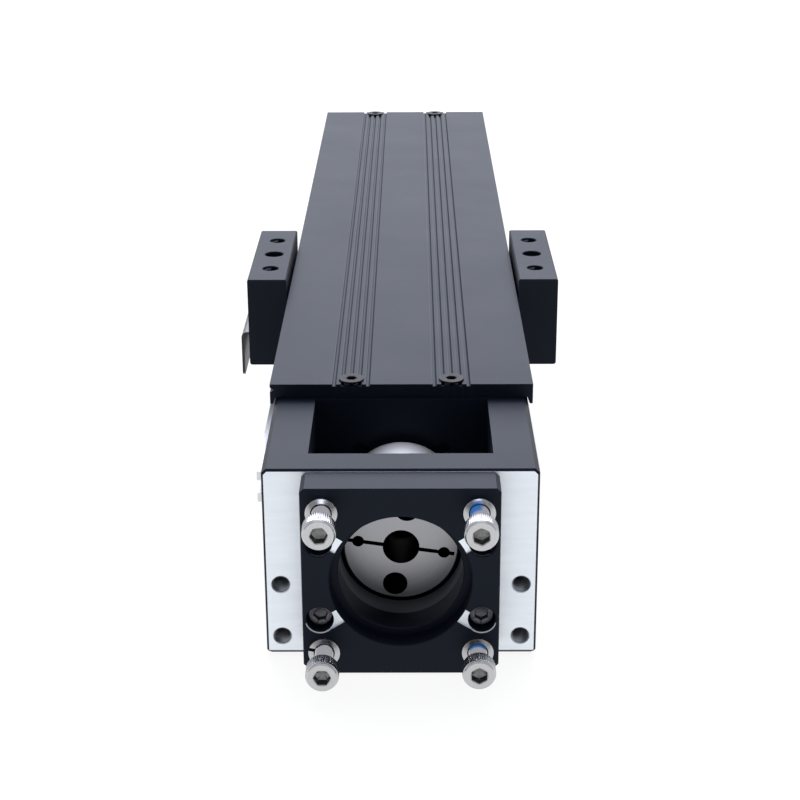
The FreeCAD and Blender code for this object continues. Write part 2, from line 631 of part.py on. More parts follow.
def bearing_rings(bearing, balls, bore_r, y0):
    """Inner ring, outer ring and balls of one deep groove bearing."""
    wide, outer_r, inner_top, outer_low, ball_r = bearing
    middle_r = (inner_top + outer_low) / 2
    middle_y = y0 + wide / 2
    track = Part.makeTorus(middle_r, ball_r + BALL_GAP, Vector(0, middle_y, AXIS_HIGH), Vector(0, 1, 0))
    inner = ring_y(bore_r + SEAT, inner_top, y0, y0 + wide).cut(track)
    outer = ring_y(outer_low, outer_r, y0, y0 + wide).cut(track)
    places = circle_places(2 * middle_r, [360 / balls * i for i in range(balls)])
    return inner, outer, [Part.makeSphere(ball_r, Vector(x, middle_y, z)) for x, z in places]


def fixed_bearings():
    """The two bearings beside each other in the motor side housing."""
    wide = FIXED_BEARING[0]
    starts = (FIXED_BEARING_Y, FIXED_BEARING_Y + wide)
    return [bearing_rings(FIXED_BEARING, FIXED_BALLS, FIXED_JOURNAL_R, y) for y in starts]


def free_bearing():
    """The bearing in the rear housing."""
    return bearing_rings(FREE_BEARING, FREE_BALLS, FREE_JOURNAL_R, FREE_BEARING_Y)


def bearing_retainer():
    """Threaded ring, with spanner slots, that holds the fixed bearings in their seat."""
    ring = ring_y(RETAINER_HOLE_R, RETAINER_R, CHAMBER_REAR, FIXED_BEARING_Y - SEAT)
    w = RETAINER_SLOT / 2
    slots = []
    for turn in range(45, 405, 90):
        y1 = CHAMBER_REAR + RETAINER_SLOT_DEEP
        slot = box(RETAINER_HOLE_R + RETAINER_SLOT_IN, RETAINER_R + OVER, CHAMBER_REAR - OVER, y1, -w, w)
        slot.rotate(Vector(0, 0, 0), Vector(0, 1, 0), turn)
        slots.append(slot.translate(Vector(0, 0, AXIS_HIGH)))
    return ring.cut(slots)


def ball_screw_shaft():
    """Screw shaft with its stepped journals; the thread's groove is left plain."""
    fixed_end = FIXED_BEARING_Y + 2 * FIXED_BEARING[0]
    drive_end = CHAMBER_REAR - (LOCK_NUT_THICK - RETAINER_THICK)
    front = COUPLING_REAR - DRIVE_JOURNAL_IN
    rear = STAGE_REAR - SCREW_TIP
    shaft = rod_y(DRIVE_JOURNAL_R, front, drive_end)
    shaft = chamfer_at(shaft, "Y", front, SCREW_CHAMFER)
    fixed_journal = rod_y(FIXED_JOURNAL_R, drive_end, fixed_end)
    shaft = shaft.fuse([fixed_journal, rod_y(SCREW_R, fixed_end, FREE_BEARING_Y)])
    tail = chamfer_at(rod_y(FREE_JOURNAL_R, FREE_BEARING_Y, rear), "Y", rear, SCREW_CHAMFER)
    groove_y = FREE_BEARING_Y + FREE_BEARING[0]
    groove = ring_y(FREE_JOURNAL_R - RING_GROOVE_DEEP, 2 * SCREW_R, groove_y, groove_y + SNAP_RING_THICK)
    return shaft.fuse(tail).removeSplitter().cut(groove)


def bearing_lock_nut():
    """Slotted nut that clamps the fixed bearings' inner rings."""
    y0 = FIXED_BEARING_Y - LOCK_NUT_THICK
    nut = ring_y(FIXED_JOURNAL_R + SEAT, LOCK_NUT_R, y0, FIXED_BEARING_Y)
    w = LOCK_NUT_SLOT / 2
    slot_floor = LOCK_NUT_R - w
    slots = []
    for turn in range(0, 360, 90):
        slot = box(slot_floor, LOCK_NUT_R + OVER, y0 - OVER, FIXED_BEARING_Y - w, -w, w)
        slot.rotate(Vector(0, 0, 0), Vector(0, 1, 0), turn)
        slots.append(slot.translate(Vector(0, 0, AXIS_HIGH)))
    return nut.cut(slots)


def snap_ring():
    """Open ring in the groove at the shaft's rear end."""
    y0 = FREE_BEARING_Y + FREE_BEARING[0]
    ring = ring_y(FREE_JOURNAL_R - RING_GROOVE_DEEP + SEAT, SNAP_RING_R, y0, y0 + SNAP_RING_THICK)
    w = FREE_JOURNAL_R / 2
    return ring.cut(box(-w, w, y0 - OVER, y0 + SNAP_RING_THICK + OVER, 0, AXIS_HIGH))


def tilted(shape):
    """Turns a coupling piece to the angle that it stands at."""
    turned = shape.copy()
    turned.rotate(Vector(0, 0, AXIS_HIGH), Vector(0, 1, 0), COUPLING_TILT)
    return turned


def clamp_seat_z():
    """Height of the clamp screw's seat, below the slit."""
    return AXIS_HIGH - CLAMP_HEAD_DEPTH


def clamp_screw_end():
    """Height of the clamp screw's hole end, above the slit."""
    return AXIS_HIGH + CLAMP_SCREW_UP


def coupling_hub(y0, bore_r):
    """Clamping hub: slit to the left rim, relief holes, two clearance holes and the clamp screw's seat."""
    y1 = y0 + HUB_LONG
    middle = (y0 + y1) / 2
    hub = chamfer_at(rod_y(COUPLING_R, y0, y1), "Y", y0, SLIDE_GAP)
    s = SLIT_WIDE / 2
    nub = RELIEF_OUT + RELIEF_R + RELIEF_NUB
    cuts = [
        rod_y(bore_r, y0 - OVER, y1 + OVER),
        box(-COUPLING_R - OVER, nub, y0 - OVER, y1 + OVER, AXIS_HIGH - s, AXIS_HIGH + s),
        rod_z(CLAMP_SCREW_R + THREAD_GAP, clamp_seat_z(), clamp_screw_end(), -CLAMP_SCREW_OUT, middle),
        rod_z(CLAMP_SCREW_HEAD_R + THROUGH_GAP, 0, clamp_seat_z(), -CLAMP_SCREW_OUT, middle),
    ]
    for side in (-1, 1):
        cuts.append(rod_y(RELIEF_R, y0 - OVER, y1 + OVER, side * RELIEF_OUT))
        cuts.append(rod_y(DISC_HOLE_R, y0 - OVER, y1 + OVER, 0, AXIS_HIGH + side * DISC_HOLE_OUT))
    return tilted(hub.cut(cuts))


def coupling_disc():
    """Flexible middle of the coupling."""
    y0 = COUPLING_FRONT + HUB_LONG
    disc = ring_y(COUPLING_BORE_R + DISC_WALL, DISC_R, y0, y0 + DISC_LONG)
    waist = ring_y(DISC_R - DISC_WALL, COUPLING_R, y0 + DISC_LONG / 3, y0 + 2 * DISC_LONG / 3)
    return disc.cut(waist)


def coupling_clamp_screws():
    """One clamp screw in each hub."""
    size = (CLAMP_SCREW_R, CLAMP_SCREW_HEAD_R, CLAMP_SCREW_HEAD, CLAMP_SCREW_HEX, CLAMP_SCREW_R)
    screw = cap_screw(size, CLAMP_HEAD_DEPTH + CLAMP_SCREW_UP - THREAD_GAP)
    screws = []
    for y0 in (COUPLING_FRONT, COUPLING_FRONT + HUB_LONG + DISC_LONG):
        place = Vector(-CLAMP_SCREW_OUT, y0 + HUB_LONG / 2, clamp_seat_z())
        screws.append(tilted(facing(screw, Vector(0, 0, -1), place)))
    return screws


def slider_section(inset, y0, y1):
    """Slider's outline with its ball grooves, extruded along Y."""
    half = SLIDER_WIDE / 2 - inset
    body = box(-half, half, y0, y1, SLIDER_LOW + inset, SLIDER_TOP - inset)
    sides = (-RAIL_INNER, RAIL_INNER)
    cuts = [rod_y(BALL_GROOVE_R, y0 - OVER, y1 + OVER, x, z) for x in sides for z in BALL_GROOVE_Z]
    return body.cut(cuts)


def slider_block():
    """Steel slider between the rail's walls, bored for the ball nut."""
    y0, y1 = SLIDER_CENTRE - SLIDER_LONG / 2, SLIDER_CENTRE + SLIDER_LONG / 2
    body = slider_section(0, y0, y1)
    cuts = [rod_y(NUT_R + SEAT, y0 - OVER, y1 + OVER)]
    for x, y in TABLE_SCREW_PLACES:
        depth = SLIDER_TOP - TABLE_SCREW_LONG
        cuts.append(rod_z(M4_CAP[0] + THREAD_GAP, depth, SLIDER_TOP + OVER, x, y))
    deep = CAP_SCREW_LONG - CAP_THICK + CAP_TAP_SPARE
    for x, z in CAP_SCREW_PLACES:
        cuts.append(rod_y(CAP_SCREW_R + THREAD_GAP, y0 - OVER, y0 + deep, x, z))
        cuts.append(rod_y(CAP_SCREW_R + THREAD_GAP, y1 - deep, y1 + OVER, x, z))
    return body.cut(cuts)


def ball_nut():
    """Ball nut in the slider's bore."""
    half = NUT_LONG / 2
    nut = ring_y(SCREW_R + RUNNING, NUT_R, SLIDER_CENTRE - half, SLIDER_CENTRE + half)
    keep = box(-NUT_R, NUT_R, SLIDER_CENTRE - half, SLIDER_CENTRE + half, AXIS_HIGH - NUT_R, SLIDER_TOP)
    return nut.common(keep)


def end_cap(side):
    """Plastic ball return cap on one end of the slider; side is -1 in front and 1 behind."""
    face = SLIDER_CENTRE + side * SLIDER_LONG / 2
    y0, y1 = sorted((face, face + side * CAP_THICK))
    body = slider_section(CAP_INSET, y0, y1)
    cuts = [rod_y(SCREW_R + SLIDE_GAP, y0 - OVER, y1 + OVER)]
    cuts += [rod_y(CAP_SCREW_R + THROUGH_GAP, y0 - OVER, y1 + OVER, x, z) for x, z in CAP_SCREW_PLACES]
    if side < 0:
        top = SLIDER_TOP - CAP_INSET
        cuts.append(rod_z(NIPPLE_R + THREAD_GAP, top - NIPPLE_DEEP, top + OVER, NIPPLE_X, (y0 + y1) / 2))
    return body.cut(cuts)


def end_seal(side):
    """Wiper plate outside an end cap, with holes round the cap screws' heads."""
    face = SLIDER_CENTRE + side * (SLIDER_LONG / 2 + CAP_THICK)
    y0, y1 = sorted((face, face + side * SEAL_THICK))
    body = slider_section(CAP_INSET, y0, y1)
    cuts = [rod_y(SCREW_R + SEAL_LIP, y0 - OVER, y1 + OVER)]
    cuts += [rod_y(CAP_SCREW_HEAD_R + THROUGH_GAP, y0 - OVER, y1 + OVER, x, z) for x, z in CAP_SCREW_PLACES]
    return body.cut(cuts)


def end_cap_screws():
    """Screws through both end caps."""
    screw = round_screw(CAP_SCREW_R, CAP_SCREW_HEAD_R, CAP_SCREW_HEAD, CAP_SCREW_LONG)
    screws = []
    for side in (-1, 1):
        y = SLIDER_CENTRE + side * (SLIDER_LONG / 2 + CAP_THICK)
        screws += [facing(screw, Vector(0, side, 0), Vector(x, y, z)) for x, z in CAP_SCREW_PLACES]
    return screws


def grease_nipple():
    """Nipple on the front end cap."""
    y = SLIDER_CENTRE - SLIDER_LONG / 2 - CAP_THICK / 2
    z = SLIDER_TOP - CAP_INSET
    stem = rod_z(NIPPLE_R, z - NIPPLE_DEEP, z + NIPPLE_HIGH / 2, NIPPLE_X, y)
    tip = Part.makeCone(NIPPLE_R, NIPPLE_R / 2, NIPPLE_HIGH / 2, Vector(NIPPLE_X, y, z + NIPPLE_HIGH / 2))
    return stem.fuse(tip)


def table():
    """Bridge that passes under the cover, with a mounting block on each side."""
    points = [(-BLOCK_OUT, BLOCK_LOW), (-BLOCK_OUT, BLOCK_TOP)]
    points += [(-BLOCK_IN, BLOCK_TOP), (-BLOCK_IN, BRIDGE_TOP)]
    points += [(-x, z) for x, z in reversed(points)]
    points += [(BLOCK_IN, BLOCK_LOW), (BLOCK_IN, SLIDER_TOP), (-BLOCK_IN, SLIDER_TOP), (-BLOCK_IN, BLOCK_LOW)]
    body = prism_y(points, TABLE_FRONT, TABLE_REAR)
    for x in (-BLOCK_OUT, BLOCK_OUT):
        body = round_along_y(body, x, BLOCK_LOW, BLOCK_ROUND)
    body = chamfer_at(body, "Z", BLOCK_TOP, BLOCK_EDGE)
    cuts = []
    for x in (-TABLE_HOLE_X, TABLE_HOLE_X):
        for step, r in ((-1, TABLE_TAP_R), (0, TABLE_DOWEL_R), (1, TABLE_TAP_R)):
            y = SLIDER_CENTRE + step * TABLE_HOLE_PITCH
            cuts.append(rod_z(r, BLOCK_TOP - TABLE_HOLE_DEEP, BLOCK_TOP + OVER, x, y))
            cuts.append(mouth_z(r, BLOCK_TOP, x, y))
    seat = table_screw_seat()
    for x, y in TABLE_SCREW_PLACES:
        cuts.append(rod_z(M4_CAP[0] + THROUGH_GAP, SLIDER_TOP - OVER, BRIDGE_TOP + OVER, x, y))
        cuts.append(rod_z(M4_CAP[1] + THROUGH_GAP, seat, BRIDGE_TOP + OVER, x, y))
    dog_tap_end = -BLOCK_OUT - DOG_THICK + DOG_SCREW_LONG + DOG_TAP_SPARE
    for y in dog_screw_ys():
        cuts.append(rod_x(DOG_SCREW_R + THREAD_GAP, -BLOCK_OUT - OVER, dog_tap_end, y, DOG_SCREW_Z))
    return body.cut(cuts)


def table_screw_seat():
    """Height of the table screws' seats in the bridge."""
    return BRIDGE_TOP - M4_CAP[2] - TABLE_SCREW_SUNK


def table_screws():
    """Screws that hold the table on the slider."""
    screw = cap_screw(M4_CAP, TABLE_SCREW_LONG)
    return [screw.copy().translate(Vector(x, y, table_screw_seat())) for x, y in TABLE_SCREW_PLACES]


def dog_screw_ys():
    """Places of the sensor dog's screws along the stage."""
    middle = TABLE_REAR - DOG_TAB_LONG / 2
    return [middle - DOG_SCREW_PITCH / 2, middle + DOG_SCREW_PITCH / 2]


def sensor_dog():
    """Bent sheet on the left block: a tab on its face and a leg that hangs lower and further out."""
    face = -BLOCK_OUT
    leg = face - DOG_LEG_OUT
    t = DOG_THICK
    y0 = TABLE_FRONT + DOG_FRONT
    tab = box(face - t, face, TABLE_REAR - DOG_TAB_LONG, TABLE_REAR, DOG_HIGH - t, DOG_TAB_TOP)
    shelf = box(leg - t, face, y0, TABLE_REAR, DOG_HIGH - t, DOG_HIGH)
    leg_plate = box(leg - t, leg, y0, TABLE_REAR, DOG_LOW, DOG_HIGH)
    dog = tab.fuse([shelf, leg_plate]).removeSplitter()
    dog = round_along_y(dog, leg - t, DOG_HIGH, DOG_BEND + t)
    dog = round_along_y(dog, leg, DOG_HIGH - t, DOG_BEND)
    corner = [(y0, DOG_LOW), (y0 + DOG_CUT, DOG_LOW), (y0, DOG_LOW + DOG_CUT)]
    cuts = [prism_x(corner, leg - 2 * t, face)]
    for y in dog_screw_ys():
        cuts.append(rod_x(DOG_SCREW_R + THROUGH_GAP, face - 2 * t, face + OVER, y, DOG_SCREW_Z))
    return dog.cut(cuts)


def sensor_dog_screws():
    """Low head screws on the dog's tab."""
    screw = round_screw(DOG_SCREW_R, DOG_SCREW_HEAD_R, DOG_SCREW_HEAD, DOG_SCREW_LONG)
    x = -BLOCK_OUT - DOG_THICK
    return [facing(screw, Vector(-1, 0, 0), Vector(x, y, DOG_SCREW_Z)) for y in dog_screw_ys()]


def sensor_screw_ys():
    """Places of the sensor rail's screws along the stage."""
    first = HOUSING_REAR + SENSOR_SCREW_END
    last = REAR_HOUSING_Y - SENSOR_SCREW_END
    return [first + (last - first) * i / (SENSOR_SCREWS - 1) for i in range(SENSOR_SCREWS)]


def sensor_rail():
    """Aluminium channel on the left wall, open outwards between two lips."""
    x1 = -RAIL_WIDE / 2
    x0 = x1 - SENSOR_RAIL_DEEP
    z0, z1 = SENSOR_RAIL_LOW, SENSOR_RAIL_LOW + SENSOR_RAIL_HIGH
    w, lip = SENSOR_RAIL_WALL, SENSOR_RAIL_LIP
    outer = [(x1, z0), (x1, z1), (x0, z1), (x0, z1 - lip)]
    inner = [(x0 + w, z1 - lip), (x0 + w, z1 - w), (x1 - w, z1 - w)]
    inner += [(x1 - w, z0 + w), (x0 + w, z0 + w), (x0 + w, z0 + lip)]
    points = outer + inner + [(x0, z0 + lip), (x0, z0)]
    body = prism_y(points, SENSOR_RAIL_FRONT, STAGE_REAR - SENSOR_RAIL_END)
    z = (z0 + z1) / 2
    return body.cut([rod_x(SENSOR_SCREW_R + THROUGH_GAP, x0, x1 + OVER, y, z) for y in sensor_screw_ys()])


def sensor_rail_screws():
    """Screws inside the sensor rail."""
    screw = round_screw(SENSOR_SCREW_R, SENSOR_SCREW_HEAD_R, SENSOR_SCREW_HEAD, SENSOR_SCREW_LONG)
    x = -RAIL_WIDE / 2 - SENSOR_RAIL_WALL
    z = SENSOR_RAIL_LOW + SENSOR_RAIL_HIGH / 2
    return [facing(screw, Vector(-1, 0, 0), Vector(x, y, z)) for y in sensor_screw_ys()]


def bumper(side):
    """Rubber stop plate on a housing's inner face, below the screw; side is 1 in front."""
    face = HOUSING_REAR if side > 0 else REAR_HOUSING_Y
    y0, y1 = sorted((face, face + side * BUMPER_THICK))
    half = RAIL_INNER - BUMPER_IN
    return box(-half, half, y0, y1, RAIL_FLOOR + SEAT, AXIS_HIGH - SCREW_R - BUMPER_GAP)


def save(node, solids):
    """Moves a node's solids to the stage's origin and writes them."""
    shape = Part.makeCompound(solids) if isinstance(solids, list) else solids
    shape = shape.copy()
    shape.translate(Vector(0, -ORIGIN_Y, 0))
    shape.exportStep("parts/" + node + ".step")


def main():
    """Makes every node."""
    os.makedirs("parts", exist_ok=True)
    fixed = fixed_bearings()
    free = free_bearing()
    disc_end = COUPLING_FRONT + HUB_LONG + DISC_LONG
    nodes = {
        "base_rail": base_rail(),
        "motor_side_housing": motor_side_housing(),
        "rear_housing": rear_housing(),
        "housing_screws": lap_screws(),
        "motor_adapter_plate": motor_adapter_plate(),
        "adapter_plate_screws": adapter_plate_screws(),
        "motor_screws": motor_screws(),
        "motor_spring_washers": motor_spring_washers(),
        "top_cover": top_cover(),
        "cover_screws": cover_screws(),
        "fixed_bearing_outer_rings": [b[1] for b in fixed],
        "fixed_bearing_inner_rings": [b[0] for b in fixed],
        "fixed_bearing_balls": fixed[0][2] + fixed[1][2],
        "free_bearing_outer_ring": free[1],
        "free_bearing_inner_ring": free[0],
        "free_bearing_balls": free[2],
        "bearing_retainer": bearing_retainer(),
        "ball_screw_shaft": ball_screw_shaft(),
        "bearing_lock_nut": bearing_lock_nut(),
        "rear_snap_ring": snap_ring(),
        "coupling_motor_hub": coupling_hub(COUPLING_FRONT, COUPLING_BORE_R),
        "coupling_disc": coupling_disc(),
        "coupling_screw_hub": coupling_hub(disc_end, DRIVE_JOURNAL_R + SEAT),
        "coupling_clamp_screws": coupling_clamp_screws(),
        "slider_block": slider_block(),
        "ball_nut": ball_nut(),
        "front_end_cap": end_cap(-1),
        "rear_end_cap": end_cap(1),
        "end_cap_screws": end_cap_screws(),
        "front_seal": end_seal(-1),
        "rear_seal": end_seal(1),
        "grease_nipple": grease_nipple(),
        "table": table(),
        "table_screws": table_screws(),
        "sensor_dog": sensor_dog(),
        "sensor_dog_screws": sensor_dog_screws(),
        "sensor_rail": sensor_rail(),
        "sensor_rail_screws": sensor_rail_screws(),
        "front_bumper": bumper(1),
        "rear_bumper": bumper(-1),
    }
    for node, solids in nodes.items():
        save(node, solids)


main()
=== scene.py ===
# %% [markdown]
# # A covered ball screw stage
# The real object is a machine axis: a ground steel channel with a ball screw inside, a black anodised
# housing at each end, a dust cover over the top and a table that carries a block on each side of the
# cover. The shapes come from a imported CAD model. This lesson adds what CAD leaves out: threads, knurls,
# tool marks, anodising, bare metal and the studio round it.

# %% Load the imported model
import json
import math

import bmesh
import bpy
from mathutils import Matrix, Vector


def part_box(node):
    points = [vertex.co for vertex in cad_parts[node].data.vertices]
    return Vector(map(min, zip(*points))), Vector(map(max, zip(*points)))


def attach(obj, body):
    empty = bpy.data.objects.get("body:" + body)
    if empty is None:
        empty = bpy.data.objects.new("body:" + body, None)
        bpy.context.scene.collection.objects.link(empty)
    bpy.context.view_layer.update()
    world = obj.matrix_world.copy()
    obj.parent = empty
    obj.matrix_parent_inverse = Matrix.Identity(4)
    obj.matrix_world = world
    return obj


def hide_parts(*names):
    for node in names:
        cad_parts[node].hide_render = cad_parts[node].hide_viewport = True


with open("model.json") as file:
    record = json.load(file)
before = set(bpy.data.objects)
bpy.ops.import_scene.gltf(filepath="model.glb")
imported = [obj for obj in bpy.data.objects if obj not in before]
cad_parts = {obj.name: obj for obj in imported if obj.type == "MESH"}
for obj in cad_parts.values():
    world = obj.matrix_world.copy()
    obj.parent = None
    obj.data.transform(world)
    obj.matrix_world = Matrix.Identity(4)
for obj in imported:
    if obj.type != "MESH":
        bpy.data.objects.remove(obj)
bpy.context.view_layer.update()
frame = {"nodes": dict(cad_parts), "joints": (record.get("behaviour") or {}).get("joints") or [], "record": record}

scene = bpy.context.scene
MM = 0.001

# %% [markdown]
# ## Node trees written as sums
# Shader and geometry trees are easier to read when their maths looks like maths. One class wraps a
# socket and turns + - * / into Math nodes, and one method adds every other node. The usual way, a line
# for each node and a line for each link, hides the idea behind the plumbing.

# %% Wires and trees


class Wire:
    """A socket of a node tree that can be used in sums."""

    def __init__(self, tree, socket):
        self.tree, self.socket = tree, socket

    def out(self, name):
        """Another output of the same node."""
        return Wire(self.tree, self.socket.node.outputs[name])

    def __add__(self, other):
        return self.tree.math("ADD", self, other)

    def __sub__(self, other):
        return self.tree.math("SUBTRACT", self, other)

    def __rsub__(self, other):
        return self.tree.math("SUBTRACT", other, self)

    def __mul__(self, other):
        return self.tree.math("MULTIPLY", self, other)

    def __truediv__(self, other):
        return self.tree.math("DIVIDE", self, other)

    def __lt__(self, other):
        return self.tree.math("LESS_THAN", self, other)

    def __gt__(self, other):
        return self.tree.math("GREATER_THAN", self, other)

    __radd__ = __add__
    __rmul__ = __mul__


class Tree:
    """A node tree with one method that adds nodes."""

    def __init__(self, group):
        self.group = group

    def add(self, kind, settings=None, inputs=None, output=0):
        """Adds a node, with its settings first and then the values or links of its sockets."""
        node = self.group.nodes.new(kind)
        for name, value in (settings or {}).items():
            setattr(node, name, value)
        for name, value in (inputs or {}).items():
            self.join(node.inputs[name], value)
        return Wire(self, node.outputs[output])

    def join(self, socket, value):
        """Gives a socket a link or a value."""
        if isinstance(value, Wire):
            self.group.links.new(value.socket, socket)
        else:
            socket.default_value = value

    def math(self, operation, *values):
        """Adds a Math node."""
        return self.add("ShaderNodeMath", {"operation": operation}, dict(enumerate(values)))

    def fade(self, value, low, high):
        """0 below low, 1 above high and a smooth step between."""
        settings = {"interpolation_type": "SMOOTHSTEP"}
        inputs = {"Value": value, "From Min": low, "From Max": high}
        return self.add("ShaderNodeMapRange", settings, inputs)

    def mix(self, factor, a, b):
        """Mixes two colours."""
        a, b = [(*colour, 1) if isinstance(colour, tuple) else colour for colour in (a, b)]
        return self.add("ShaderNodeMix", {"data_type": "RGBA"}, {0: factor, 6: a, 7: b}, output=2)


print("sums give Math nodes")

# %% [markdown]
# ## Finishes
# A finish is a node tree that ends in one shader. Its patterns read Object coordinates in metres, so a
# zone such as "less than 2 mm from this hole's axis" can be written down directly, and it stays on the
# part when the part moves. Painting textures by hand would need an unwrapped mesh for every node.

# %% The class of finishes


class Finish(Tree):
    """A material whose patterns read Object coordinates."""

    def __init__(self, name, **constants):
        self.material = bpy.data.materials.new(name)
        self.material.use_nodes = True
        super().__init__(self.material.node_tree)
        self.shader = self.group.nodes["Principled BSDF"]
        self.place = self.add("ShaderNodeTexCoord", output="Object")
        parts = self.add("ShaderNodeSeparateXYZ", inputs={0: self.place})
        self.x, self.y, self.z = parts, parts.out("Y"), parts.out("Z")
        self.set(**constants)

    def set(self, **values):
        """Sets sockets of the shader; words are joined by underscores."""
        for name, value in values.items():
            if isinstance(value, tuple) and name.endswith(("Color", "Tint")):
                value = (*value, 1)
            self.join(self.shader.inputs[name.replace("_", " ")], value)

    def now(self, name):
        """What feeds one of the shader's sockets so far."""
        return Wire(self, self.shader.inputs[name].links[0].from_socket)

    def noise(self, scale, detail=3.0, stretch=(1, 1, 1)):
        """Noise with features of about 1 / scale metres, stretched along an axis if asked."""
        place = self.place
        if stretch != (1, 1, 1):
            place = self.add("ShaderNodeMapping", inputs={"Vector": place, "Scale": stretch})
        inputs = {"Vector": place, "Scale": scale, "Detail": detail, "Roughness": 0.55}
        return self.add("ShaderNodeTexNoise", {"noise_dimensions": "3D"}, inputs)

    def bump(self, height, distance, strength):
        """Tilts the shader's normal by a height of 0 to 1 times a distance in metres."""
        inputs = {"Height": height, "Distance": distance, "Strength": strength}
        self.set(Normal=self.add("ShaderNodeBump", inputs=inputs))

    def near(self, side, rise, r):
        """1 where a point is nearer than r to an axis, given its two distances across that axis."""
        return (side * side + rise * rise) < r * r

    def within(self, value, low, high):
        """1 where a value lies between two limits."""
        return (value > low) * (value < high)

    def unsigned(self, value):
        """A value without its sign."""
        return self.math("ABSOLUTE", value)


print("finishes read metres")

# %% [markdown]
# ## The camera
# A product photograph is usually taken with a long lens from a little above. The place and angles here
# were found by fitting the object's known edges to the picture, so the camera is written as angles and
# not aimed by a constraint, and every later comparison can be made pixel on pixel.

# %% Camera
CAMERA_PLACE = Vector((0.0024, -0.51995, 0.18863))
YAW, PITCH, ROLL = -0.0064, 0.375, -0.0044
FOCAL, SENSOR = 77.22, 36  # mm
SHIFT_X, SHIFT_Y = -0.00195, 0.00026
NEAREST = 0.01  # m, the first thing the camera can see

forward = Vector((math.sin(YAW) * math.cos(PITCH), math.cos(YAW) * math.cos(PITCH), -math.sin(PITCH)))
level = Vector((math.cos(YAW), -math.sin(YAW), 0))
upright = level.cross(forward)
camera_right = math.cos(ROLL) * level + math.sin(ROLL) * upright
camera_up = math.cos(ROLL) * upright - math.sin(ROLL) * level
camera = bpy.data.objects.new("camera", bpy.data.cameras.new("camera"))
camera.data.lens = FOCAL
camera.data.sensor_width = SENSOR
camera.data.shift_x = SHIFT_X
camera.data.shift_y = SHIFT_Y
camera.data.clip_start = NEAREST
camera.matrix_world = Matrix((camera_right, camera_up, -forward)).transposed().to_4x4()
camera.location = CAMERA_PLACE
scene.collection.objects.link(camera)
scene.camera = camera
print("camera at", tuple(camera.location))

# %% [markdown]
# ## The studio
# Dark anodised metal only shows its shape by what it reflects. An even, slightly cool room gives the
# fronts their depth. Two large soft lamps, one above and one further behind, give every top its grey
# sheen without shining on the fronts. The floor glows by itself, like a light table, so that it stays
# white and keeps only a faint shadow. A floor lit by the lamps was the other choice, but it would throw
# as much light on the fronts as the lamps do on the tops.

# %% Floor, room and lamps
ROOM, ROOM_STRENGTH = (1.0, 1.035, 1.1), 0.62
LAMP_COLOUR = (0.93, 0.97, 1.12)
FLOOR_HALF, FLOOR_LOW = 6.0, -0.0004  # m; just under the part, so that no two faces share a plane
PAPER_DARK, PAPER_PALE, PAPER_GLOW = 0.11, 0.13, 0.9

scene.view_settings.view_transform = "Standard"
scene.view_settings.look = "None"

world = bpy.data.worlds.new("white room")
scene.world = world
world.use_nodes = True
room = Tree(world.node_tree)
background = world.node_tree.nodes["Background"]
room.join(background.inputs["Color"], (*ROOM, 1))
room.join(background.inputs["Strength"], ROOM_STRENGTH)

corners = [(x * FLOOR_HALF, y * FLOOR_HALF, 0) for x, y in ((-1, -1), (1, -1), (1, 1), (-1, 1))]
floor_mesh = bpy.data.meshes.new("floor")
floor_mesh.from_pydata(corners, [], [(0, 1, 2, 3)])
floor = bpy.data.objects.new("floor", floor_mesh)
floor.location.z = FLOOR_LOW
scene.collection.objects.link(floor)
paper = Finish("white_paper", Roughness=0.9, Emission_Strength=PAPER_GLOW, IOR=1.3)
grain = paper.noise(60, detail=4)
paper.set(Base_Color=paper.mix(grain, (PAPER_DARK,) * 3, (PAPER_PALE,) * 3), Emission_Color=(1.0, 1.0, 1.0))
floor_mesh.materials.append(paper.material)


def lamp(name, place, size, watts):
    """A soft square lamp that points at the middle of the frame."""
    light = bpy.data.lights.new(name, "AREA")
    light.size, light.energy, light.color = size, watts, LAMP_COLOUR
    piece = bpy.data.objects.new(name, light)
    piece.location = place
    piece.rotation_euler = (-Vector(place)).to_track_quat("-Z", "Y").to_euler()
    scene.collection.objects.link(piece)


lamp("overhead", (0, 0.55, 1.1), 1.0, 15.0)
lamp("behind", (-0.1, 1.35, 0.85), 1.3, 8.0)

# %% [markdown]
# ## Black anodising
# Satin black anodising is a thin, clear, dyed oxide on bead-blasted aluminium. It is nearly black seen
# straight on and turns grey at a low angle, which is the work of Fresnel reflection on a slightly rough
# surface. A dark dielectric with a low index does this by itself, so no colour is painted by angle. The
# reflection is tinted a little, because the dye is a blue black.

# %% Anodised finish
ANODISED_DARK = (0.0024, 0.0040, 0.0092)
ANODISED_PALE = (0.0035, 0.0056, 0.0115)
DYE = (0.78, 0.87, 1.0)


def anodised(name):
    """The satin black finish."""
    finish = Finish(name, IOR=1.25, Specular_Tint=DYE)
    blasted = finish.noise(5200, detail=2)
    cloud = finish.noise(38, detail=4)
    finish.set(Base_Color=finish.mix(cloud, ANODISED_DARK, ANODISED_PALE), Roughness=0.36 + cloud * 0.1)
    finish.bump(blasted, 6e-6, 0.5)
    return finish


black_anodised = anodised("black_anodised")
print("anodised:", black_anodised.material.name)
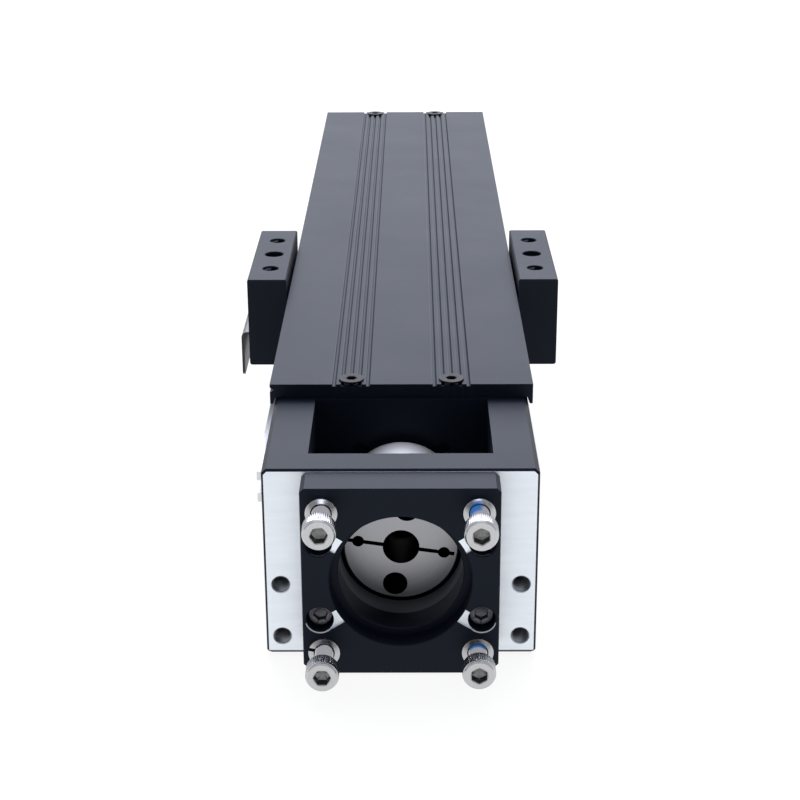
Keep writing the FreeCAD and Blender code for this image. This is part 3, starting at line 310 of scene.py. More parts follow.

# %% [markdown]
# ## Where the black was cut away
# The housing's front was faced after anodising, so it is bright, with the straight strokes of the cutter.
# Its tapped holes are bright too, and the bore in its wall gets only a tenth of the bare colour, a painted
# shade in that recess. In the plate the floors of four notches and the edges of the lower pockets are bare.
# A mask in the finish does this with no seam in the mesh: each zone is a distance from an axis and a depth
# behind a face. Cutting the faces apart would give the same look with more edges.

# %% Bare zones
BARE_PALE = (0.87, 0.91, 0.96)
BARE_DARK = (0.78, 0.82, 0.87)
HOUSING_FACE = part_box("motor_side_housing")[0].y
PLATE_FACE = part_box("motor_adapter_plate")[0].y
AXIS_Z = frame["joints"][1]["pos_m"][2]
SKIN = 0.02 * MM
WALL_BORE, WALL_FROM, WALL_TO = 13.4 * MM, HOUSING_FACE + 2.7 * MM, HOUSING_FACE + 8.6 * MM
TAP_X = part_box("motor_side_housing")[1].x - 3.5 * MM
TAP_ROWS = (4.6 * MM, 17.1 * MM)
TAP_ZONE, TAP_END = 2.1 * MM, HOUSING_FACE + 9.6 * MM
NOTCH_FROM, NOTCH_TO = 15.2 * MM, 19.8 * MM
FLOOR_FROM, FLOOR_TO = PLATE_FACE + 0.3 * MM, PLATE_FACE + 0.5 * MM
EDGE_FROM, EDGE_TO = PLATE_FACE + 0.01 * MM, PLATE_FACE + 0.24 * MM
POCKET_OUT, POCKET_ANGLE = 19.25 * MM, math.radians(27.6)
POCKET_X, POCKET_Z = POCKET_OUT * math.cos(POCKET_ANGLE), POCKET_OUT * math.sin(POCKET_ANGLE)
POCKET_ZONE, POCKET_DROP = 3.25 * MM, -0.8 * MM


def part_bare(name, bare):
    """Black anodising with zones that were machined bare after it; bare gives their mask."""
    finish = anodised(name)
    mask = bare(finish)
    strokes = finish.noise(900, detail=3, stretch=(0.12, 1, 1))
    black, satin = finish.now("Base Color"), finish.now("Roughness")
    bright = finish.mix(strokes, BARE_PALE, BARE_DARK)
    finish.set(Base_Color=finish.mix(mask, black, bright), Metallic=mask)
    finish.set(Roughness=satin * (1 - mask) + (0.42 + strokes * 0.1) * mask)
    return finish


def front_face(finish):
    """The housing's faced front up to its chamfer, its taps, and the bore in its wall at a tenth, as painted
    shade.
    """
    in_bore = finish.near(finish.x, finish.z - AXIS_Z, WALL_BORE)
    in_wall = finish.within(finish.y, WALL_FROM, WALL_TO)
    side = finish.unsigned(finish.x) - TAP_X
    low, high = [finish.near(side, finish.z - z, TAP_ZONE) for z in TAP_ROWS]
    in_taps = (finish.y < TAP_END) * (low + high)
    # The bore wall takes a tenth of the bare colour: the rest is held back as painted shade in the bore.
    return finish.math("MAXIMUM", finish.y < HOUSING_FACE + SKIN, in_taps * 0.8 + in_bore * in_wall * 0.1)


def notch_floors(finish):
    """The four notches' floors and the lower pockets' edges in the plate."""
    rise = finish.z - AXIS_Z
    reach = finish.near(finish.x, rise, NOTCH_TO) * (1 - finish.near(finish.x, rise, NOTCH_FROM))
    floors = finish.within(finish.y, FLOOR_FROM, FLOOR_TO) * reach
    side = finish.unsigned(finish.x) - POCKET_X
    drop = rise + POCKET_Z
    edges = finish.near(side, drop, POCKET_ZONE) * (drop < POCKET_DROP)
    edges = edges * finish.within(finish.y, EDGE_FROM, EDGE_TO)
    return finish.math("MAXIMUM", floors, edges * 0.6)


housing_finish = part_bare("anodised_with_faced_front", front_face)
plate_finish = part_bare("anodised_with_cut_notches", notch_floors)
print("bare front at y =", round(HOUSING_FACE / MM, 2), "mm")

# %% [markdown]
# ## The cover's grooves
# The cover is an extrusion with two groups of five grooves. The left edge of each groove is painted
# lighter, a painted highlight where the light from above catches it, and its right wall keeps the duller
# skin of the die. The grooves are real in the mesh. The finish only counts them off from the middle of
# each group to find their edges.

# %% Grooved cover
GROUP_X, GROOVE_PITCH = 11.6 * MM, 1.95 * MM
GROUP_HALF = 2.52  # pitches
MIDDLE = 100.5  # pitches, so that a groove's middle is at phase 0 and the fraction is never negative
# The lighter colour on the grooves' left edges is a painted highlight.
HIGHLIGHT_FROM, HIGHLIGHT_TO, DULL_FROM = -0.37, -0.24, 0.05  # pitches from a groove's middle
HIGHLIGHT_SKIN, DULL_SKIN = 0.04 * MM, 0.03 * MM
PAINTED_GROOVE_HIGHLIGHT, DULL_ROUGH = (0.022, 0.025, 0.030), 0.68


def grooved_cover():
    """Black anodising with a painted highlight on the grooves' left edges and their right walls dull."""
    finish = anodised("anodised_grooved")
    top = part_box("top_cover")[1].z
    local = finish.unsigned(finish.x) - GROUP_X
    sided = local * finish.math("SIGN", finish.x)
    phase = finish.math("FRACT", sided / GROOVE_PITCH + MIDDLE) - 0.5
    group = finish.unsigned(local) < GROOVE_PITCH * GROUP_HALF
    # Painted highlight: the top of each groove's left edge is coloured lighter where light catches it.
    painted_light = group * finish.within(phase, HIGHLIGHT_FROM, HIGHLIGHT_TO) * (finish.z > top - HIGHLIGHT_SKIN)
    dull = group * (finish.z < top - DULL_SKIN) * (phase > DULL_FROM)
    black, satin = finish.now("Base Color"), finish.now("Roughness")
    finish.set(Base_Color=finish.mix(painted_light, black, PAINTED_GROOVE_HIGHLIGHT))
    finish.set(Roughness=satin * (1 - dull) + dull * DULL_ROUGH)
    return finish


cover_finish = grooved_cover()
print("groove pitch:", round(GROOVE_PITCH / MM, 2), "mm")

# %% [markdown]
# ## Steels, aluminium and brass
# Each metal gets the lay of the tool that made it: rings on what was turned and fine lines along the
# travel on what was ground. The lines are noise squeezed along one axis, which is cheaper than a wave
# and never looks printed.

# %% Metals


def metal(name, pale, dark, rough, scale, stretch):
    """A bare metal with its tool marks along one axis."""
    finish = Finish(name, Metallic=1.0)
    marks = finish.noise(scale, detail=4, stretch=stretch)
    cloud = finish.noise(70, detail=3)
    finish.set(Base_Color=finish.mix(marks * 0.7 + cloud * 0.3, dark, pale))
    finish.set(Roughness=rough + (marks - 0.5) * 0.16)
    finish.bump(marks, 2e-6, 0.6)
    return finish


def radius(finish):
    """Distance from the screw's axis."""
    rise = finish.z - AXIS_Z
    return finish.math("SQRT", finish.x * finish.x + rise * rise)


def turned(name, pale, dark, rough):
    """A turned face: fine rings round the screw's axis."""
    finish = Finish(name, Metallic=1.0)
    place = finish.add("ShaderNodeCombineXYZ", inputs={0: radius(finish), 1: finish.y * 0.6})
    inputs = {"Vector": place, "Scale": 4200, "Detail": 2.0}
    line = finish.add("ShaderNodeTexNoise", {"noise_dimensions": "2D"}, inputs)
    finish.set(Base_Color=finish.mix(line, dark, pale), Roughness=rough + (line - 0.5) * 0.14)
    finish.bump(line, 2e-6, 0.5)
    return finish


finishes = {
    "rail_steel": metal("ground_steel", (0.56, 0.56, 0.57), (0.46, 0.46, 0.48), 0.30, 3000, (1, 0.02, 1)),
    "stainless": metal("stainless", (0.58, 0.58, 0.59), (0.46, 0.46, 0.47), 0.24, 1800, (1, 0.2, 1)),
    "grey_steel": metal("plated_steel", (0.50, 0.50, 0.51), (0.38, 0.38, 0.40), 0.34, 2600, (1, 1, 1)),
    "bearing_steel": turned("bearing_steel", (0.72, 0.72, 0.73), (0.62, 0.62, 0.64), 0.16),
    "screw_steel": turned("screw_steel", (0.62, 0.62, 0.63), (0.50, 0.50, 0.52), 0.22),
    "sheet_steel": metal("sheet_steel", (0.20, 0.20, 0.20), (0.13, 0.13, 0.13), 0.40, 2200, (1, 0.05, 1)),
    "bare_aluminium": metal(
        "mill_aluminium", (0.80, 0.81, 0.82), (0.70, 0.71, 0.73), 0.36, 2600, (1, 0.02, 1)),
    "brass": metal("brass", (0.80, 0.62, 0.30), (0.66, 0.48, 0.20), 0.28, 2600, (1, 1, 0.1)),
    "black_anodised": black_anodised,
}
print("metals:", len(finishes) - 1)

# %% [markdown]
# ## The coupling and the dog
# The coupling is turned from bar, so its face has rings. The top of its rim is painted paler, a painted
# highlight, and its lower rim is painted darker, a painted shade. Little light reaches its bore, its screw
# holes and its slit, so they are painted near black as painted shade. The sensor dog is sheet steel: its
# front edge is painted dark against its rolled faces, a painted shade on the edge that faces away from the
# lamps. Both are told apart by zones again, so each part keeps one material.

# %% Coupling and sensor dog
COUPLING_RIM, COUPLING_SKIN = 12.1 * MM, 12.45 * MM
RIM_LOW, RIM_HIGH = -5 * MM, 7 * MM
FRONT_SKIN = 0.06 * MM
# Painted light: a paler colour on top of the rim, a darker one on the lower rim, and near black in the bore, holes
# and slit, where shade falls.
PAINTED_RIM_HIGHLIGHT, RIM_SHADED, PAINTED_HOLE_SHADE = (0.78, 0.78, 0.80), (0.065, 0.07, 0.07), (0.006, 0.006, 0.008)
# The dog's front edge colour is a painted shade.
PAINTED_EDGE_SHADE = (0.045, 0.045, 0.045)


def coupling_finish():
    """Turned alloy: dull on its front, with a painted highlight on top of its rim, painted shade on its lower rim
    and painted black shade in its holes and slit.
    """
    finish = turned("coupling_alloy", (0.40, 0.40, 0.42), (0.31, 0.31, 0.33), 0.36)
    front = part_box("coupling_motor_hub")[0].y
    r = radius(finish)
    # Painted light by height: the top of the rim is painted paler and the lower rim darker.
    upper = finish.fade(finish.z - AXIS_Z, RIM_LOW, RIM_HIGH)
    rim = (r > COUPLING_RIM) * upper
    low = (r > COUPLING_SKIN) * (1 - upper)
    # Painted shade: the bore, screw holes and slit behind the front are painted near black.
    holes = (r < COUPLING_RIM) * (finish.y > front + FRONT_SKIN)
    face = finish.mix(low, finish.mix(rim, finish.now("Base Color"), PAINTED_RIM_HIGHLIGHT), RIM_SHADED)
    finish.set(Base_Color=finish.mix(holes, face, PAINTED_HOLE_SHADE))
    finish.set(Roughness=finish.now("Roughness") + rim * 0.22)
    return finish


def dog_finish():
    """Bent sheet steel whose front edge is painted dark, a painted shade on the edge that faces away from the
    lamps.
    """
    finish = metal("sheet_steel_dog", (0.22, 0.22, 0.22), (0.15, 0.15, 0.15), 0.40, 2200, (1, 0.05, 1))
    # Painted shade: the front edge, which faces away from the lamps, is coloured darker.
    edge = finish.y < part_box("sensor_dog")[0].y + FRONT_SKIN
    finish.set(Base_Color=finish.mix(edge, finish.now("Base Color"), PAINTED_EDGE_SHADE))
    return finish


finishes["coupling_alloy"] = coupling_finish()
print("coupling rim from", round(COUPLING_RIM / MM, 2), "mm")

# %% [markdown]
# ## Dark coats, and a finish for every node
# Blacked steel, plastic and rubber are dark coats that differ in colour, sheen and grain. Every CAD node
# then gets the finish of its material slot, unless it has one of its own.

# %% Dark coats and all the nodes


def dark_coat(name, dark, pale, rough, scale, ior=1.45):
    """Blacked steel, plastic or rubber: a dark coat with a fine uneven surface."""
    finish = Finish(name, IOR=ior)
    patch = finish.noise(scale / 30, detail=4)
    fine = finish.noise(scale, detail=2)
    finish.set(Base_Color=finish.mix(patch, dark, pale), Roughness=rough + (patch - 0.5) * 0.2)
    finish.bump(fine, 8e-6, 0.5)
    return finish


finishes["black_steel"] = dark_coat(
    "blacked_steel", (0.012, 0.011, 0.012), (0.035, 0.033, 0.034), 0.34, 3000, 1.6)
finishes["black_plastic"] = dark_coat("black_plastic", (0.012, 0.012, 0.013), (0.02, 0.02, 0.021), 0.5, 2200)
finishes["seal_rubber"] = dark_coat("seal_rubber", (0.010, 0.010, 0.010), (0.022, 0.021, 0.020), 0.68, 1500)

slot_of = {part["node"]: part["material_slot"] for part in frame["record"]["subparts"]}
own_finish = {
    "motor_side_housing": housing_finish,
    "motor_adapter_plate": plate_finish,
    "bearing_retainer": black_anodised,
    "top_cover": cover_finish,
    "sensor_dog": dog_finish(),
}
for name, node in frame["nodes"].items():
    finish = own_finish.get(name, finishes[slot_of[name]])
    node.data.materials.clear()
    node.data.materials.append(finish.material)
print("slots:", len(finishes), "nodes with their own finish:", len(own_finish))

# %% [markdown]
# ## Turned shapes
# A screw head, with its hexagon socket and knurled rim, is one stack of rings that all have the same
# number of points. The rings are round, six sided or toothed, so the skin between them closes by itself.
# Cutting the hexagon out with a boolean would leave long thin faces that shade badly. The last rings
# carry an attribute that tells the finish where the socket is.

# %% Stacked rings
ROUND = 144
TOOTH = 3  # points in each tooth of a knurl
SOCKET_RINGS = 4


def round_ring(r):
    """Radii of a circle."""
    return [r] * ROUND


def hex_ring(apothem):
    """Radii of a hexagon."""
    turns = [2 * math.pi * i / ROUND for i in range(ROUND)]
    return [apothem / math.cos(a % (math.pi / 3) - math.pi / 6) for a in turns]


def toothed_ring(r, deep):
    """Radii of a knurl."""
    return [r - deep * (i % TOOTH == 0) for i in range(ROUND)]


def stacked(name, rings, low, high, socket=SOCKET_RINGS):
    """A closed mesh along Z from rings of (radii, height) in millimetres, with a point at both ends."""
    mesh = bpy.data.meshes.new(name)
    count = len(rings[0][0])
    points = [(0, 0, low)]
    for radii, height in rings:
        for i, r in enumerate(radii):
            turn = 2 * math.pi * i / count
            points.append((r * math.cos(turn), r * math.sin(turn), height))
    points.append((0, 0, high))
    faces = []
    top = 1 + (len(rings) - 1) * count
    for i in range(count):
        j = (i + 1) % count
        faces.append((0, 1 + j, 1 + i))
        for a in range(1, top, count):
            faces.append((a + i, a + j, a + count + j, a + count + i))
        faces.append((top + i, top + j, len(points) - 1))
    mesh.from_pydata(points, [], faces)
    mesh.transform(Matrix.Scale(MM, 4))
    inside = mesh.attributes.new("socket", "FLOAT", "POINT")
    first = len(points) - 1 - socket * count
    inside.data.foreach_set("value", [float(i >= first) for i in range(len(points))])
    return mesh


print("points in a ring:", len(hex_ring(1.5)))

# %% [markdown]
# ## Threads and copies by Geometry Nodes
# A thread is a helix with a four sided ridge swept along it. One tree makes every thread here: outside a
# core for the screws, and half sunk in the wall for the tapped holes. A second tree puts copies of a mesh
# on points. Real helices catch the light as slanted lines, which plain rings never do.

# %% Node trees for threads and copies
SOCKETS = {"length": "NodeSocketFloat", "shape": "NodeSocketObject", "look": "NodeSocketMaterial"}


class Nodes(Tree):
    """A Geometry Nodes tree with named inputs, in the order given."""

    def __init__(self, name, **inputs):
        super().__init__(bpy.data.node_groups.new(name, "GeometryNodeTree"))
        face = self.group.interface
        face.new_socket("Geometry", in_out="INPUT", socket_type="NodeSocketGeometry")
        face.new_socket("Geometry", in_out="OUTPUT", socket_type="NodeSocketGeometry")
        for title, kind in inputs.items():
            face.new_socket(title, in_out="INPUT", socket_type=SOCKETS[kind])
        self.entry = self.group.nodes.new("NodeGroupInput")

    def given(self, title):
        """One of the tree's inputs."""
        return Wire(self, self.entry.outputs[title])

    def on_points(self, shape):
        """Ends the tree: copies on the entry's points, made real, with the material."""
        aim = self.add("GeometryNodeInputNamedAttribute", {"data_type": "FLOAT_VECTOR"}, {"Name": "aim"})
        facing = self.add("FunctionNodeAlignRotationToVector", {"axis": "Z"}, {"Vector": aim})
        spin = self.add("GeometryNodeInputNamedAttribute", {"data_type": "FLOAT"}, {"Name": "spin"})
        about = self.add("FunctionNodeAxisAngleToRotation", inputs={"Axis": (0, 0, 1), "Angle": spin})
        turn = self.add("FunctionNodeRotateRotation", {"rotation_space": "LOCAL"}, {
            "Rotation": facing, "Rotate By": about})
        copies = self.add("GeometryNodeInstanceOnPoints", inputs={
            "Points": self.given("Geometry"), "Instance": shape, "Rotation": turn})
        real = self.add("GeometryNodeRealizeInstances", inputs={0: copies})
        dressed = self.add("GeometryNodeSetMaterial", inputs={
            "Geometry": real, "Material": self.given("Look")})
        self.join(self.group.nodes.new("NodeGroupOutput").inputs[0], dressed)
        return self.group


def thread_tree():
    """Ridges along helices that stand on the points of a mesh, along each point's aim."""
    tree = Nodes("thread", Radius="length", Pitch="length", Length="length", Ridge="length", Look="look")
    height = tree.given("Length")
    helix = tree.add("GeometryNodeCurveSpiral", inputs={
        "Resolution": 24, "Rotations": height / tree.given("Pitch"), "Start Radius": tree.given("Radius"),
        "End Radius": tree.given("Radius"), "Height": height})
    path = tree.add("GeometryNodeSetCurveNormal", {"mode": "Z_UP"}, {"Curve": helix})
    section = tree.add("GeometryNodeCurvePrimitiveCircle", inputs={
        "Resolution": 4, "Radius": tree.given("Ridge")})
    return tree.on_points(tree.add("GeometryNodeCurveToMesh", inputs={
        "Curve": path, "Profile Curve": section, "Fill Caps": True}))


def copies_tree():
    """Copies of another object's mesh on points."""
    tree = Nodes("copies", Shape="shape", Look="look")
    inputs = {"Object": tree.given("Shape")}
    return tree.on_points(tree.add("GeometryNodeObjectInfo", inputs=inputs, output="Geometry"))


THREAD, COPIES = thread_tree(), copies_tree()
print("trees:", THREAD.name, COPIES.name)

# %% [markdown]
# ## From trees to pieces
# A tree is run on a small mesh of points and the result is kept as plain faces, so that the piece can
# ride on a body and be exported. A row of points says where the copies go and which way they face. The
# other way, a live modifier on the piece, would be lost on export.

# %% Growing and joining
TO_MOTOR, UPWARDS = (0, -1, 0), (0, 0, 1)


def grown(name, places, aim, group, spins=None, **values):
    """Runs a tree on a mesh of points and gives the finished mesh; spins are turns about the aim."""
    points = bpy.data.meshes.new(name + "_points")
    points.from_pydata(places, [], [])
    aims = points.attributes.new("aim", "FLOAT_VECTOR", "POINT")
    aims.data.foreach_set("vector", aim * len(places))
    spin = points.attributes.new("spin", "FLOAT", "POINT")
    spin.data.foreach_set("value", spins or [0.0] * len(places))
    holder = bpy.data.objects.new(name + "_points", points)
    scene.collection.objects.link(holder)
    modifier = holder.modifiers.new("grow", "NODES")
    modifier.node_group = group
    for item in group.interface.items_tree:
        if item.item_type == "SOCKET" and item.in_out == "INPUT" and item.name in values:
            modifier[item.identifier] = values[item.name]
    scene.view_layers[0].update()
    ready = holder.evaluated_get(bpy.context.evaluated_depsgraph_get())
    mesh = bpy.data.meshes.new_from_object(ready)
    holder.modifiers.clear()
    bpy.data.objects.remove(holder)
    return mesh


def copied(name, mesh, places, aim, spins, look):
    """Copies of one mesh at places."""
    sample = bpy.data.objects.new(name + "_sample", mesh)
    copies = grown(name, places, aim, COPIES, spins, Shape=sample, Look=look.material)
    bpy.data.objects.remove(sample)
    return copies


def joined(name, meshes, look, body, replaces=(), smooth=0.6):
    """One finished piece from several meshes, riding on a body."""
    whole = bmesh.new()
    for mesh in meshes:
        whole.from_mesh(mesh)
    bmesh.ops.recalc_face_normals(whole, faces=whole.faces)
    mesh = bpy.data.meshes.new(name)
    whole.to_mesh(mesh)
    whole.free()
    mesh.materials.clear()
    mesh.materials.append(look.material)
    mesh.shade_smooth()
    mesh.set_sharp_from_angle(angle=smooth)
    piece = bpy.data.objects.new(name, mesh)
    scene.collection.objects.link(piece)
    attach(piece, body)
    if replaces:
        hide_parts(*replaces)
    print(name, len(mesh.polygons), "faces")


print("copies face", TO_MOTOR, "or", UPWARDS)

# %% [markdown]
# ## The motor screws' finish
# The two right screws keep a patch of blue thread-lock next to the plate, on the upper one at the upper
# left of its shank and on the lower one only on top. The patch is a zone of the shank with an edge made
# ragged by noise, where a painted picture would need its own map. The sockets are darker, because little
# light gets into them.

# %% Stainless with thread-lock
HEAD_R, HEAD_HIGH, SCREW_LONG = 3.5, 4.0, 14.0  # mm, an M4 socket screw
SCREW_CORE, SHANK_ZONE = 1.62, 2.1 * MM
low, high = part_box("motor_screws")
SCREW_OUT = (high.x - low.x) / 2 - HEAD_R * MM
LOCK_BLUE = (0.03, 0.20, 0.58)
LOCK_LONG, LOCK_MORE = 2.2, 1.6  # mm before the plate, and how much more on the upper screw
LOCK_TILT, LOCK_SHARE = 0.75, 0.34  # how far the upper patch leans to the left
LOCK_EDGE, LOCK_FADE = (0.5 * MM, 1.3 * MM), 0.8 * MM


def sockets(finish):
    """1 inside the sockets."""
    return finish.add("ShaderNodeAttribute", {"attribute_name": "socket"}, output="Fac")


def screw_finish():
    """Stainless, with the thread-lock left on the two right screws next to the plate."""
    finish = metal("stainless_with_lock", (0.58, 0.58, 0.59), (0.46, 0.46, 0.47), 0.24, 1800, (1, 0.2, 1))
    upper = finish.z > AXIS_Z
    dx = finish.x - SCREW_OUT
    rise = finish.z - AXIS_Z - (upper * 2 - 1) * SCREW_OUT
    ragged = (finish.noise(900, detail=2) - 0.5) * MM
    side = rise * (1 - upper * LOCK_SHARE) - dx * upper * LOCK_TILT + ragged
    reach = finish.y + (upper * LOCK_MORE + LOCK_LONG) * MM
    patch = finish.fade(side, *LOCK_EDGE) * finish.fade(reach, PLATE_FACE, PLATE_FACE + LOCK_FADE)
    lock = finish.near(dx, rise, SHANK_ZONE) * patch
    face = finish.mix(lock, finish.now("Base Color"), LOCK_BLUE)
    shade = finish.mix(finish.noise(1500, detail=3), (0.03, 0.03, 0.03), (0.22, 0.21, 0.20))
    finish.set(Base_Color=finish.mix(sockets(finish) * 0.85, face, shade), Metallic=1 - lock)
    return finish


stainless = screw_finish()
print("motor screws at", round(SCREW_OUT / MM, 2), "mm from the axis on both ways")

# %% [markdown]
# ## The motor screws
# M4 socket screws wait in the plate with their heads clear of it, so every thread and knurl can be seen.
# Each one's place is read from the CAD node's own corners. Bodies and threads come from the two trees
# and are joined to one piece, which takes the place of the plain CAD node.

# %% Motor screws
TIP_GAP = 0.4  # mm from the screw's end to its thread
THREAD_R, THREAD_PITCH, THREAD_RIDGE = 1.69 * MM, 0.7 * MM, 0.3 * MM
screw_rings = [
    (round_ring(1.3), -SCREW_LONG),
    (round_ring(SCREW_CORE), 0.35 - SCREW_LONG),
    (round_ring(SCREW_CORE), 0.0),
    (round_ring(3.3), 0.0),
    (round_ring(3.42), 0.12),
    (toothed_ring(HEAD_R, 0.11), 0.3),
    (toothed_ring(HEAD_R, 0.11), 3.1),
    (round_ring(3.42), 3.2),
    (round_ring(3.42), 3.3),
    (round_ring(3.2), 3.36),
    (round_ring(3.2), 3.5),
    (round_ring(3.32), 3.56),
    (round_ring(3.05), HEAD_HIGH),
    (round_ring(1.95), HEAD_HIGH),
    (hex_ring(1.6), 3.9),
    (hex_ring(1.52), 3.8),
    (hex_ring(1.5), 3.7),
    (hex_ring(1.5), 2.0),
]


def quarter_fronts(node):
    """Front end of a node's piece in each quarter round the screw's axis."""
    found = {}
    for vertex in frame["nodes"][node].data.vertices:
        x, y, z = vertex.co
        key = (1 if x > 0 else -1, 1 if z > AXIS_Z else -1)
        found[key] = min(found.get(key, 9.0), y)
    return found


fronts = quarter_fronts("motor_screws").items()
seats = [(side * SCREW_OUT, y + HEAD_HIGH * MM, AXIS_Z + up * SCREW_OUT) for (side, up), y in fronts]
tips = [(x, y + (SCREW_LONG - TIP_GAP) * MM, z) for x, y, z in seats]
spins = [math.pi / 6 * (x > 0) + 0.1 * (z > AXIS_Z) for x, y, z in seats]
screw_mesh = stacked("motor_screw_body", screw_rings, -SCREW_LONG, 1.45)
bodies = copied("motor_screws", screw_mesh, seats, TO_MOTOR, spins, stainless)
threads = grown("motor_threads", tips, TO_MOTOR, THREAD, Radius=THREAD_R, Pitch=THREAD_PITCH,
                Length=SCREW_LONG * MM - THREAD_PITCH, Ridge=THREAD_RIDGE, Look=stainless.material)
joined("motor_screws_cut", [bodies, threads], stainless, "base", ["motor_screws"])

# %% [markdown]
# ## Pocket screws
# Blacked M3 cap screws stand in the plate's pockets with their faces a few millimetres below it. They are
# the same stack of rings as the motor screws, with a finer knurl, copied onto their four places.

# %% Pocket screws
FLOOR = PLATE_FACE + 7.1 * MM
CAP_LONG, CAP_R, CAP_HIGH, CAP_KNURL = 8.0, 2.74, 4.5, 0.08  # mm
CAP_SPINS = [0.2, 0.6, 0.5, 0.0]
cap_rings = [
    (round_ring(1.3), -CAP_LONG),
    (round_ring(1.5), -7.8),
    (round_ring(1.5), 0.0),
    (round_ring(2.6), 0.0),
    (toothed_ring(CAP_R, CAP_KNURL), 0.2),
    (toothed_ring(CAP_R, CAP_KNURL), 4.1),
    (round_ring(2.66), 4.3),
    (round_ring(2.4), CAP_HIGH),
    (round_ring(1.6), CAP_HIGH),
    (hex_ring(1.35), 4.4),
    (hex_ring(1.27), 4.3),
    (hex_ring(1.25), 4.2),
    (hex_ring(1.25), 3.2),
]
cap_mesh = stacked("cap_screw_body", cap_rings, -CAP_LONG, 2.9)
blacked = metal("blacked_cap", (0.16, 0.16, 0.18), (0.09, 0.09, 0.10), 0.38, 2400, (1, 1, 1))
cap_places = [(side * POCKET_X, FLOOR, AXIS_Z + up * POCKET_Z) for side in (-1, 1) for up in (-1, 1)]
caps = copied("cap_screws", cap_mesh, cap_places, TO_MOTOR, CAP_SPINS, blacked)
cap_node = "adapter_plate_screws"
joined("adapter_screws_cut", [caps], blacked, "base", [cap_node])

# %% [markdown]
# ## Cover screws
# The cover's countersunk screws are dull grey with a black hexagon: blackened, then worn by handling. The
# rings of a flat head are few, so its cone stays a true cone. The socket is painted near black, a painted
# shade in the recess, and made rough as well, or it would shine at this low angle.

# %% Cover screws
FLAT_R, FLAT_DEEP, FLAT_LONG = 2.9, 1.7, 8.0  # mm
FLAT_SPINS = [0.0, 0.4, 0.8, 0.2]
flat_rings = [
    (round_ring(1.2), -FLAT_LONG),
    (round_ring(1.5), -7.7),
    (round_ring(1.5), -FLAT_DEEP),
    (round_ring(FLAT_R), -0.2),
    (round_ring(FLAT_R), -0.04),
    (round_ring(FLAT_R - 0.05), 0.0),
    (round_ring(1.3), 0.0),
    (hex_ring(1.08), -0.06),
    (hex_ring(1.02), -0.14),
    (hex_ring(1.0), -0.22),
    (hex_ring(1.0), -1.2),
]


def worn_black_socket_shade():
    """Worn blacking, with the socket rough and painted near black as painted shade."""
    finish = dark_coat("worn_black_steel", (0.008, 0.007, 0.008), (0.026, 0.022, 0.024), 0.46, 2600, 1.29)
    inside = sockets(finish)
    finish.set(Roughness=finish.now("Roughness") * (1 - inside) + inside)
    # Painted shade: the socket is coloured near black where little light gets in.
    finish.set(Base_Color=finish.mix(inside, finish.now("Base Color"), (0.002, 0.002, 0.002)))
    return finish


painted_light = worn_black_socket_shade()
flat_mesh = stacked("flat_screw_body", flat_rings, -FLAT_LONG, -1.5)
low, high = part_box("cover_screws")
inset = FLAT_R * MM
flat_places = [(x, y, high.z) for x in (low.x + inset, high.x - inset)
               for y in (low.y + inset, high.y - inset)]
flats = copied("flat_screws", flat_mesh, flat_places, UPWARDS, FLAT_SPINS, painted_light)
joined("cover_screws_cut", [flats], painted_light, "base", ["cover_screws"])

# %% [markdown]
# ## The ball screw
# The screw's track is a groove of round section that a ball fits with a little room, ground once round
# the shaft every 10 mm to the right. Every ring of this mesh is pushed in where the groove crosses it,
# so the track is real and runs out before the journals. It turns with the screw's body. Sweeping a
# cutter along a helix and subtracting it would do the same, but slowly and with broken faces.

# %% Ball screw
LEAD, TRACK_R, TRACK_OUT, SCREW_R = 10.0, 1.7, 0.75, 6.0  # mm
TRACK_FROM, TRACK_TO, TRACK_STEP, RUN_OUT = 38.0, 301.0, 0.4, 2.0
SHAFT_LONG = 313.7
AROUND = 64
DRIVE_END = [(0.0, 3.5), (0.5, 4.0), (13.3, 4.0), (13.3, 4.8), (13.5, 5.0), (33.3, 5.0), (33.3, 5.8)]
DRIVE_END += [(33.5, SCREW_R), (36.0, SCREW_R)]
FREE_END = [(303.0, SCREW_R), (305.1, SCREW_R), (305.3, 5.8), (305.3, 4.0), (312.3, 4.0), (312.3, 3.6)]
FREE_END += [(313.2, 3.6), (313.2, 3.95), (313.25, 3.95), (SHAFT_LONG, 3.5)]


def tracked_ring(height):
    """Radii of the screw at one height, with the groove pressed in."""
    radii = []
    share = max(0.0, min(1.0, (height - TRACK_FROM) / RUN_OUT, (TRACK_TO - height) / RUN_OUT))
    for i in range(AROUND):
        off = ((height / LEAD - i / AROUND) % 1 - 0.5) * LEAD
        deep = math.sqrt(max(0.0, TRACK_R * TRACK_R - off * off)) - TRACK_OUT
        radii.append(SCREW_R - max(0.0, deep) * share)
    return radii


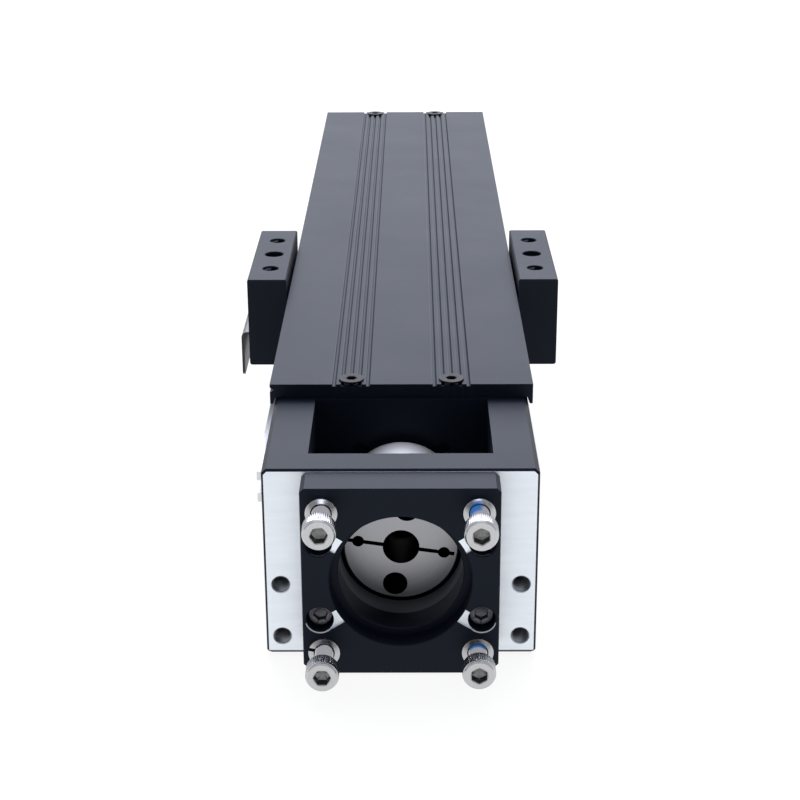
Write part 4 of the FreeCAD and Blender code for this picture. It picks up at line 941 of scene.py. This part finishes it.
heights = [TRACK_FROM + TRACK_STEP * k for k in range(int((TRACK_TO - TRACK_FROM) / TRACK_STEP) + 1)]
shaft_rings = [([r] * AROUND, height) for height, r in DRIVE_END]
shaft_rings += [(tracked_ring(height), height) for height in heights]
shaft_rings += [([r] * AROUND, height) for height, r in FREE_END]
shaft_low, shaft_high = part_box("ball_screw_shaft")
shaft_mesh = stacked("screw_shaft", shaft_rings, 0.0, SHAFT_LONG, socket=0)
shaft_mesh.transform(Matrix.Rotation(-math.pi / 2, 4, "X"))
shaft_mesh.transform(Matrix.Translation((0, shaft_low.y, AXIS_Z)))
joined("ball_screw_cut", [shaft_mesh], finishes["screw_steel"], "screw",
       ["ball_screw_shaft"], smooth=0.5)
missed = shaft_low.y + SHAFT_LONG * MM - shaft_high.y
print("rings:", len(shaft_rings), "- the shaft ends", abs(round(missed / MM, 3)), "mm from the CAD's end")

# %% [markdown]
# ## Tapped holes
# The front taps and the outer holes of the blocks show fine rings inside. They get the same helix, sunk
# halfway into the wall: bright at the front, where the tap cut bare metal, and dark in the blocks, where
# hardly any light gets in. A bump would show the rings too, but would be gone in the meshes.

# %% Thread liners
TAP_START, TAP_LONG, TAP_R = 9.4 * MM, 9.0 * MM, 1.92 * MM
front_look = metal("tapped_aluminium", (0.42, 0.43, 0.45), (0.20, 0.20, 0.22), 0.4, 2600, (1, 1, 1))
front_taps = [(side * TAP_X, HOUSING_FACE + TAP_START, z) for side in (-1, 1) for z in TAP_ROWS]
front_threads = grown("front_taps", front_taps, TO_MOTOR, THREAD, Radius=TAP_R, Pitch=THREAD_PITCH,
                      Length=TAP_LONG, Ridge=THREAD_RIDGE, Look=front_look.material)
joined("front_tap_threads", [front_threads], front_look, "base")

BLOCK_IN, BLOCK_PITCH = 5.5 * MM, 13.5 * MM  # from the block's side, and from its middle
BLOCK_START, BLOCK_LONG = 13.4 * MM, 12.6 * MM
BLOCK_R, BLOCK_THREAD, BLOCK_RIDGE = 2.14 * MM, 0.8 * MM, 0.34 * MM
block_look = metal("tapped_block", (0.10, 0.10, 0.12), (0.04, 0.04, 0.05), 0.45, 2600, (1, 1, 1))
low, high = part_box("table")
middle = (low.y + high.y) / 2
block_taps = [(side * (high.x - BLOCK_IN), middle + step * BLOCK_PITCH, high.z - BLOCK_START)
              for side in (-1, 1) for step in (-1, 1)]
block_threads = grown("block_taps", block_taps, UPWARDS, THREAD, Radius=BLOCK_R, Pitch=BLOCK_THREAD,
                      Length=BLOCK_LONG, Ridge=BLOCK_RIDGE, Look=block_look.material)
joined("block_tap_threads", [block_threads], block_look, "slider")
